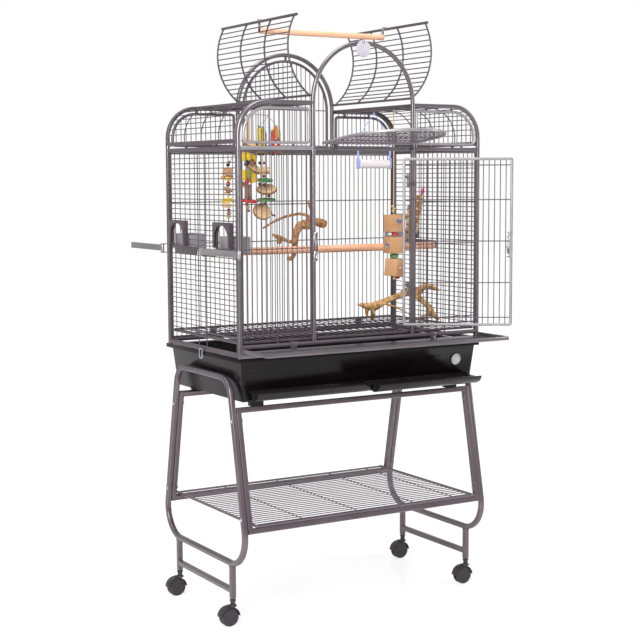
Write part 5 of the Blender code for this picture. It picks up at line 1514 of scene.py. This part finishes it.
# %% Roller swing
SWING_TOP = TOP - TUBE - GAP
SWING_X = 0.178
ROLLER_Z = SWING_TOP - 0.1577
high = SWING_TOP - 0.0015
bail = [(0.122, -0.1587), (0.122, -0.0797), (SWING_X, -0.006), (0.236, -0.0797), (0.236, -0.1587)]
end = [(0.0001, 0), (0.0115, 0), (0.0128, 0.001)]
grooves = [(0.0134 - 0.0007 * (i % 2), 0.001 + 0.102 * i / 22) for i in range(1, 22)]
roller = turned(end + grooves + [(r, 0.104 - z) for r, z in end[::-1]], 32)
blue = [wire([[(x, 0, SWING_TOP + z) for x, z in bail]], 0.0015, 3)]
for x in (0.122, 0.236):
    blue.append(block((x - 0.0045, -0.005, ROLLER_Z - 0.015), (x + 0.0045, 0.005, ROLLER_Z + 0.018), 0.0022))
    blue.append(bar((x, 0, ROLLER_Z + 0.012), (x, 0, ROLLER_Z + 0.062), 0.0028, 18, 0.001))
swing = assembled(
    (BLUE, *blue), (PALE, aimed(roller, (0.127, 0, ROLLER_Z), (1, 0, 0))),
    (STEEL, block((SWING_X - 0.0015, -0.0012, high - 0.0075), (SWING_X + 0.0015, 0.0012, high), 0.0005),
     bar((SWING_X, -0.004, high - 0.0012), (SWING_X, 0.004, high - 0.0012), 0.0012, 14, 0.0003)),
)
finished(swing, "roller_swing_assembly", "roller_swing", "swing_hanger", slot="blue_plastic")

# %% [markdown]
# The toys are small parts on cords: cut wood, slices of branch with their bark, beads and knots. Each part
# has its own finish, and the parts of one toy are joined into one piece.

# %% Toy parts
MM = 0.001
UPRIGHT = (0, 0, 1)


def turned_about(obj, centre, degrees, axis):
    """Turn a part about its own centre."""
    turn = Matrix.Rotation(math.radians(degrees), 4, axis)
    return moved(obj, Matrix.Translation(centre) @ turn @ Matrix.Translation(-Vector(centre)))


def cube(centre, half, paint, degrees=0, axis="Z"):
    low, high = [[c + s * h for c, h in zip(centre, half)] for s in (-1, 1)]
    return painted(turned_about(block(low, high, 0.0009), centre, degrees, axis), paint)


def spun(profile, steps, centre, way, paint):
    return painted(aimed(turned(profile, steps), centre, way), paint)


def bead(centre, radius, paint, tall=None, way=UPRIGHT):
    tall = tall or radius
    angles = [math.radians(-90 + 180 * i / 8) for i in range(1, 8)]
    round_part = [(max(radius * math.cos(a), 0.0007), tall * math.sin(a)) for a in angles]
    return spun([(0.0006, -tall)] + round_part + [(0.0006, tall)], 18, centre, way, paint)


def coin(centre, radius, thick, paint, way=UPRIGHT):
    edge = min(0.0016, thick * 0.35)
    half = [(0.0001, 0), (radius - edge, 0), (radius - edge * 0.3, edge * 0.3), (radius, edge)]
    profile = [(r, z - thick / 2) for r, z in half]
    return spun(profile + [(r, -z) for r, z in profile[::-1]], 36, centre, way, paint)


def wood_slice(centre, radius, thick, way):
    """A slice of branch: a pale face with a rim of bark."""
    rim = [(radius - 0.0012, 0.0004 - thick / 2), (radius, 0.0012 - thick / 2)]
    rim += [(r, -z) for r, z in rim[::-1]]
    return joined(coin(centre, radius - 0.0007, thick, SLICE, way), spun(rim, 36, centre, way, BROWN_TOY))


def cord(line, radius, paint=None):
    return painted(wire([line], radius, 3), paint or SISAL)


def twisted(start, end, radius, turns, paint, phase):
    """One strand wound round a line, fullest in the middle, as in woven grass."""
    start, end = Vector(start), Vector(end)
    way = (end - start).normalized()
    side = way.orthogonal().normalized()
    other = way.cross(side)
    line = []
    for i in range(61):
        share = i / 60
        out = radius * (0.25 + 0.75 * math.sin(math.pi * min(1, share * 0.94 + 0.03)) ** 0.6)
        angle = math.tau * (turns * share + phase)
        line.append(tuple(start.lerp(end, share) + side * out * math.cos(angle) + other * out * math.sin(angle)))
    return painted(wire([line], 0.0019, 1), paint)

# %% [markdown]
# The block toy has three cut cubes with knots of dyed cord on their faces, and small discs between them.

# %% Block toy
BLOCK_X, BLOCK_Y = 209, -60


def hung(x, y, drop):
    """Spot given in mm, its height measured down from the top of the cage."""
    return (x * MM, y * MM, TOP - drop * MM)


line = [hung(BLOCK_X, BLOCK_Y, 4.5), hung(BLOCK_X + 1, BLOCK_Y, 150), hung(BLOCK_X, BLOCK_Y, 510)]
pin = [hung(BLOCK_X, BLOCK_Y + y, 5.5) for y in (-9, 9)]
parts = [cord(line, 0.0019), painted(bar(*pin, 0.0013, 14, 0.0003), STEEL)]
cubes = ((210, 347, 21.5, 25.5, 2), (210.5, 412.5, 23.5, 24.5, -8), (213, 480.5, 21.5, 26.2, 24))
for x, drop, wide, tall, degrees in cubes:
    parts.append(cube(hung(x, BLOCK_Y, drop), (wide * MM, wide * MM, tall * MM), KRAFT, degrees))
turned_about(parts[-1], hung(213, BLOCK_Y, 480), 5, "Y")
for x, drop, radius, thick, paint in ((212.5, 379.6, 12.8, 8.8, RED), (210.5, 445.8, 13.5, 9.2, GREEN)):
    parts.append(coin(hung(x, BLOCK_Y - 2, drop), radius * MM, thick * MM, paint))
beads = [
    (207, 0, 297, 4.8, 4.4, SISAL, UPRIGHT), (211, 0, 304, 4.8, 4.4, STRAW, UPRIGHT),
    (208, 0, 311, 4.8, 4.4, SISAL, UPRIGHT), (192, -8, 379.6, 6.2, 4.6, PALE, UPRIGHT),
    (221, -4, 510.5, 7.8, 4.6, RED, UPRIGHT), (208.5, -6, 512.5, 5.2, 5, BARE_TOY, UPRIGHT),
    (217, -24.5, 482, 3.4, 2.4, BARE_TOY, (0, -1, 0)),
    (196, -21.5, 350, 2.2, 1.4, BROWN_TOY, (0, -1, 0)),
]
for x, y, drop, radius, tall, paint, way in beads:
    parts.append(bead(hung(x, BLOCK_Y + y, drop), radius * MM, paint, tall * MM, way))
for i in range(6):
    u, v = math.cos(i * 1.05), math.sin(i * 1.05)
    spot = hung(213.5 + 7.2 * u, BLOCK_Y - 23.2, 340 - 4.5 * v)
    parts.append(bead(spot, 0.0031, (TEAL, MINT, VIOLET)[i % 3], 0.0024, (0, -1, 0)))
    spot = hung(185.8, BLOCK_Y - 4 + 7 * u, 412 - 6.8 * v)
    parts.append(bead(spot, 0.0034, (VIOLET, TEAL, MINT)[i % 3], 0.0024, (-1, 0, 0)))
finished(joined(*parts), "block_toy_assembly", "block_toy", "block_hanger", slot="toy_mix")

# %% [markdown]
# The cluster toy hangs from a wire triangle: dyed sticks on top, and below them strings of blocks, branch
# slices, discs and beads. Its tables are in mm.

# %% Cluster toy
cords = [
    (1.4, STEEL, [(-262, 0, 7.6), (-262, 0, 36)]), (1.3, STEEL, [(-262, 0, 34), (-228, 0, 30), (-183, 0, 32)]),
    (1, STEEL, [(-183, 0, 32), (-209, 0, 60), (-220, 0, 66), (-148, 0, 66), (-160, 0, 60), (-183, 0, 32)]),
    (4.6, SISAL, [(-248, 4, 36), (-249, 4, 120)]), (1.6, SISAL, [(-250, 2, 118), (-252, 2, 290)]),
    (1.4, SISAL, [(-203, 0, 142), (-203, 0, 310)]),
    (1.3, SISAL, [(-262, 2, 125), (-295, 10, 150), (-311, 12, 178), (-309, 12, 325)]),
]
parts = [cord([hung(*point) for point in line], radius * MM, paint) for radius, paint, line in cords]
sticks = [
    (-216.5, 5.2, 68, 139, YELLOW, GREEN), (-202.5, 4.6, 69, 139, OLIVE, GREEN),
    (-190.5, 2.8, 84, 128, BROWN_TOY, RED), (-182.5, 2.8, 68, 137, TEAL, VIOLET),
    (-170, 5.2, 76, 139, RED, YELLOW), (-156, 5.2, 66, 98, ORANGE, ORANGE), (-153, 5, 101, 139, RED, RED),
    (-147.5, 3.6, 78, 138, LIME, GREEN),
]
for i, (x, radius, top, foot, paint, tip) in enumerate(sticks):
    y, radius = 4 * (i % 3 - 1), radius * MM
    parts.append(painted(bar(hung(x, y, foot), hung(x, y, top), radius, 20, 0.0012), paint))
    parts.append(bead(hung(x, y, foot + 4.5), radius * 0.85, NIGHT, 0.0036))
    parts.append(bead(hung(x, y, top - 3), radius * 0.8, tip, 0.0030))
for i in range(9):
    parts.append(bead(hung(-248.5, 4, 44 + 6.5 * i), 0.0060, (SISAL, STRAW)[i % 2], 0.0040, (0.35, 0, 1)))
cubes = [
    (-252, 0, 130, 23.5, 12, 4.5, BARE_TOY, 4), (-262, 6, 138.5, 15, 10, 3, BARE_TOY, -8),
    (-269.5, 0, 152, 6.8, 9, 10.5, YELLOW, 6), (-251.5, -2, 150, 7.8, 9, 9.5, YELLOW, -5),
    (-233.5, 2, 154.5, 8.2, 9, 10, YELLOW, 12), (-256, 0, 169, 4.5, 6, 7.5, NIGHT, 20),
    (-245, 2, 174.5, 6, 6, 7.5, BROWN_TOY, -14), (-204, 2, 183.5, 18.5, 13, 3, BARE_TOY, -3),
    (-203.5, 0, 190.5, 19, 13, 3, BARE_TOY, 2), (-203, 2, 197.5, 18, 13, 3, KRAFT, -2),
    (-269, 0, 203, 7, 9, 15, YELLOW, 4), (-253, -3, 199, 8, 8, 12.5, OLIVE, -4),
    (-235.5, 0, 208, 9, 10, 16, YELLOW, -10), (-257, -4, 220, 5, 5, 8, RED, 12),
    (-264, 0, 227.5, 3.5, 5, 6, BROWN_TOY, 0), (-257, 0, 252, 5.2, 3, 22, DULL, 1),
    (-244, 3, 250, 5.2, 3, 21, DULL, -2), (-311.5, 12, 192.5, 10.5, 10, 10.5, KRAFT, 5),
    (-313.5, 12, 207.5, 13.5, 10, 3.5, BROWN_TOY, -6), (-312.5, 12, 273.5, 11.2, 10, 6.2, YELLOW, -4),
    (-315, 12, 288, 10.5, 10, 6.2, BARE_TOY, 8),
]
for x, y, drop, wide, deep, tall, paint, tip in cubes:
    parts.append(cube(hung(x, y, drop), (wide * MM, deep * MM, tall * MM), paint, tip, "Y"))
coins = [
    (-314.5, 12, 211.5, 13.5, 10, YELLOW, (0.1, -0.1, 1)), (-247.5, 0, 276.5, 24.5, 6.2, RED, (0.05, -0.15, 1)),
    (-197, 0, 217.5, 23.2, 7.5, GREEN, (-0.03, -0.12, 1)), (-193, 0, 273.5, 27.5, 5.6, GREEN, (-0.05, -0.1, 1)),
    (-312, 12, 256, 11.5, 6, BARE_TOY, (0.15, -0.2, 1)),
]
for x, y, drop, radius, thick, paint, way in coins:
    parts.append(coin(hung(x, y, drop), radius * MM, thick * MM, paint, way))
slices = [
    (-233, 4, 180.5, 24.5, 8, (0.35, -0.62, 0.75)), (-246, 4, 111, 22.5, 7, (0.20, -0.50, 0.80)),
    (-240, 0, 125.5, 24, 6, (0.05, -0.38, 0.90)), (-310.5, 12, 243, 13.5, 7, (0.15, -0.40, 0.85)),
    (-191, 0, 243.5, 28.5, 8, (-0.22, -0.42, 0.85)), (-207.5, -2, 307.5, 27, 8.5, (-0.12, -0.72, 0.50)),
]
for x, y, drop, radius, thick, way in slices:
    parts.append(wood_slice(hung(x, y, drop), radius * MM, thick * MM, way))
beads = [
    (-212, 0, 168, 5.8, NIGHT), (-199, 0, 168, 4.8, WINE), (-200, 0, 206, 5, WINE), (-214, 0, 228, 5, NIGHT),
    (-200, -4, 230, 5.5, WINE), (-184, 0, 263, 4.6, WINE), (-213, -6, 286, 6.2, WINE), (-199, -6, 284, 5, NIGHT),
    (-256, 0, 285, 5.6, BROWN_TOY), (-253, 0, 294, 6.2, KRAFT), (-251, 0, 304, 5.6, BROWN_TOY),
    (-268, 0, 236, 4.2, BARE_TOY), (-309, 12, 173.5, 5.8, NIGHT), (-306, 10, 166, 5, BROWN_TOY),
    (-309, 12, 224, 5.6, RED), (-310.5, 10, 230.5, 6, NIGHT), (-260, -10, 163, 4.8, NIGHT),
    (-244, -12, 160, 5, WINE), (-235, -12, 168, 4.6, WINE), (-310, 12, 250.5, 6.2, BROWN_TOY),
    (-308, 12, 302, 5.8, NIGHT), (-308, 12, 311, 7, BROWN_TOY), (-309, 12, 321, 6.2, STRAW),
    (-172, 0, 318, 3.4, WINE), (-272, 0, 230, 4, RED),
]
for x, y, drop, radius, paint in beads:
    parts.append(bead(hung(x, y, drop), radius * MM, paint, radius * MM * 0.8))
parts.append(painted(bar(hung(-178, -2, 315.5), hung(-163, 0, 320.5), 0.0024, 14, 0.0008), WINE))
finished(joined(*parts), "cluster_toy_assembly", "cluster_toy", "cluster_hanger", slot="toy_mix")

# %% [markdown]
# The leaf toy is five fingers of woven grass on a thin cord, with a few dyed beads and two dry blades.

# %% Leaf toy
LEAF_X, LEAF_Y = 352, 26
over = LEAF_X * MM - (HALF_W - CORNER) + 0.0025
leaf_top = TOP - CORNER + math.sqrt((CORNER - 0.0072 - 2 * GAP) ** 2 - over * over)
line = [(LEAF_X * MM, LEAF_Y * MM, leaf_top), hung(LEAF_X, LEAF_Y, 262), hung(344, LEAF_Y, 300)]
parts = [cord(line, 0.0011)]
fingers = [
    ((356, 26, 266), (348, 26, 374), 6.2, (RUSSET, BARE_TOY, BROWN_TOY)),
    ((372.5, 28, 262), (365.5, 28, 322), 4.8, (RUSSET, PALE_STRAW, STRAW)),
    ((364, 30, 318), (356, 30, 372), 3.6, (PALE_STRAW, DULL, PALE_STRAW)),
    ((324, 26, 300), (322, 26, 410), 6.6, (PALE_STRAW, STRAW, BROWN_TOY)),
    ((337.5, 30, 290), (335.5, 30, 412), 5.8, (PALE_STRAW, BROWN_TOY, RUSSET)),
]
for start, end, radius, paints in fingers:
    for i in range(6):
        turns = 4.5 if i % 2 else -4.5
        parts.append(twisted(hung(*start), hung(*end), radius * MM, turns, paints[i % 3], i / 6))
beads = [
    (376.5, 252, 4.4, PINK, 12, 0.3), (370.5, 262, 3, PINK, 6, 0.1), (376.5, 277, 3, MINT, 8, 0.1),
    (327.5, 299, 6.2, NIGHT, 4.2, 0),
]
for x, drop, radius, paint, tall, lean in beads:
    parts.append(bead(hung(x, LEAF_Y, drop), radius * MM, paint, tall * MM, (lean, 0, 1)))
blade = [(0, -1), (1.6, 12), (1.9, 28), (0, 52), (-1.9, 28), (-1.6, 12)]
for start, end in (((361, 20, 338), (347, 20, 392)), ((354, 22, 350), (346, 20, 380))):
    leaf = plate([[(u * MM, v * MM) for u, v in blade]], 0.0008, 0.0002, "Y", 0)
    way = Vector(hung(*end)) - Vector(hung(*start))
    turn = Vector(UPRIGHT).rotation_difference(way).to_matrix().to_4x4()
    parts.append(painted(moved(leaf, Matrix.Translation(hung(*start)) @ turn), PALE_STRAW))
finished(joined(*parts), "leaf_toy_assembly", "leaf_toy", "leaf_hanger", slot="leaf_strips")

# %% [markdown]
# A branch is a set of limbs, each with its own thickness along its line. A voxel remesh runs them together
# like grown wood, and a noise gives it knots and hollows.

# %% Branches
def limb(points):
    """Smooth line through (x, y, z, radius) points, given in mm."""
    curve = bpy.data.curves.new("limb", "CURVE")
    curve.dimensions = "3D"
    curve.bevel_depth = 1.0
    curve.bevel_resolution = 4
    curve.resolution_u = 10
    curve.use_fill_caps = True
    spline = curve.splines.new("BEZIER")
    spline.bezier_points.add(len(points) - 1)
    for target, (x, y, z, radius) in zip(spline.bezier_points, points):
        target.co = (x * MM, y * MM, z * MM)
        target.radius = radius * MM
        target.handle_left_type = target.handle_right_type = "AUTO"
    obj = bpy.data.objects.new("limb", curve)
    bpy.context.collection.objects.link(obj)
    return meshed(obj)


def branch(limbs, knots):
    obj = joined(*[limb(points) for points in limbs])
    remesh = obj.modifiers.new("grown", "REMESH")
    remesh.mode = "VOXEL"
    remesh.voxel_size = 0.0011
    smooth = obj.modifiers.new("smooth", "SMOOTH")
    smooth.iterations = 4
    for scale, strength in ((0.022, knots), (0.006, knots * 0.45)):
        texture = bpy.data.textures.new("knots", "CLOUDS")
        texture.noise_scale = scale
        knot = obj.modifiers.new("knots", "DISPLACE")
        knot.texture = texture
        knot.texture_coords = "LOCAL"
        knot.strength = strength
        knot.mid_level = 0.52
    alone(obj)
    for modifier in [m.name for m in obj.modifiers]:
        bpy.ops.object.modifier_apply(modifier=modifier)
    return obj


perch_limbs = [
    [(-204, 0, 1097, 3), (-158, 0, 1119, 3.6), (-112, 0, 1132, 4), (-66, 0, 1134, 4.8), (-42, 0, 1120, 8)],
    [(-53, 2, 1176, 2.8), (-47, 2, 1161, 3.6), (-41, 0, 1143, 4.2), (-40, 0, 1116, 8)],
    [(6, 0, 1104.5, 11.5), (-6, 0, 1107, 13.8), (-26, 0, 1111, 11.5), (-54, 0, 1104.5, 15.8), (-76, 0, 1103, 12.8),
     (-90, 3, 1087, 11.2), (-91, 10, 1066, 10.8), (-86, 20.5, 1046, 9.4), (-87, 22, 1030, 7.8),
     (-96, 14, 1012, 6.6), (-112, 1, 1006, 6.2), (-124, -8, 1006, 6.6)],
    [(-95, 8, 1053, 6), (-121, 2, 1057.5, 4.6), (-136, 0, 1064, 5.4), (-150, 0, 1068, 7.4), (-162, 0, 1073, 5.2),
     (-174, 0, 1078, 3.6)],
    [(-149, 0, 1068, 8.4), (-151, 0, 1058, 7.6), (-151, 1, 1050.2, 6)],
]
grown = branch(perch_limbs, 0.0030)
finished(grown, "perch_branch_wood", "perch_branch", paint=VINE, slot="brown_wood", angle=70)

floor_limbs = [
    [(119, 0, 861, 3), (136, 0, 857, 6.8), (158, 0, 852, 12), (182, 0, 852, 13.5), (208, 0, 861, 11),
     (232, 0, 869, 10), (256, 0, 876, 9.2), (279, 0, 882, 9.4), (297, 0, 889, 13.5), (318, -2, 891, 15),
     (332, -10, 889, 13.5), (338, -30, 903, 9.8), (350, -50, 907, 8.8), (363, -60, 902, 7.2), (375, -65, 896, 4)],
    [(330, -10, 876, 9), (337, -30, 862.5, 8.6), (344, -45, 850, 9), (349, -55, 838, 10.8), (350, -55, 824, 11.2)],
    [(344, -55, 826, 8), (328, -56, 817.5, 5.8), (306, -56, 808.5, 5.6)],
    [(354, -55, 824, 8.4), (366, -57, 814.5, 6.6), (378, -60, 805.5, 5.6)],
    [(156, 0, 850, 9), (155, 4, 834, 5.8), (158, 6, 822, 3.4)],
    [(182, 4, 848, 10), (188, 20, 832, 6.6), (198, 40, 812, 5.2), (202, 45, 805, 5)],
    [(168, -4, 850, 8), (171, -8, 836, 4), (173, -10, 829, 2.6)],
    [(187, -4, 862, 4.6), (226, -12, 853.5, 3.4), (262, -16, 840, 3.2), (304, -22, 818, 3)],
]
grown = branch(floor_limbs, 0.0034)
finished(grown, "floor_branch_wood", "floor_branch", paint=DRIFT, slot="brown_wood", angle=70)
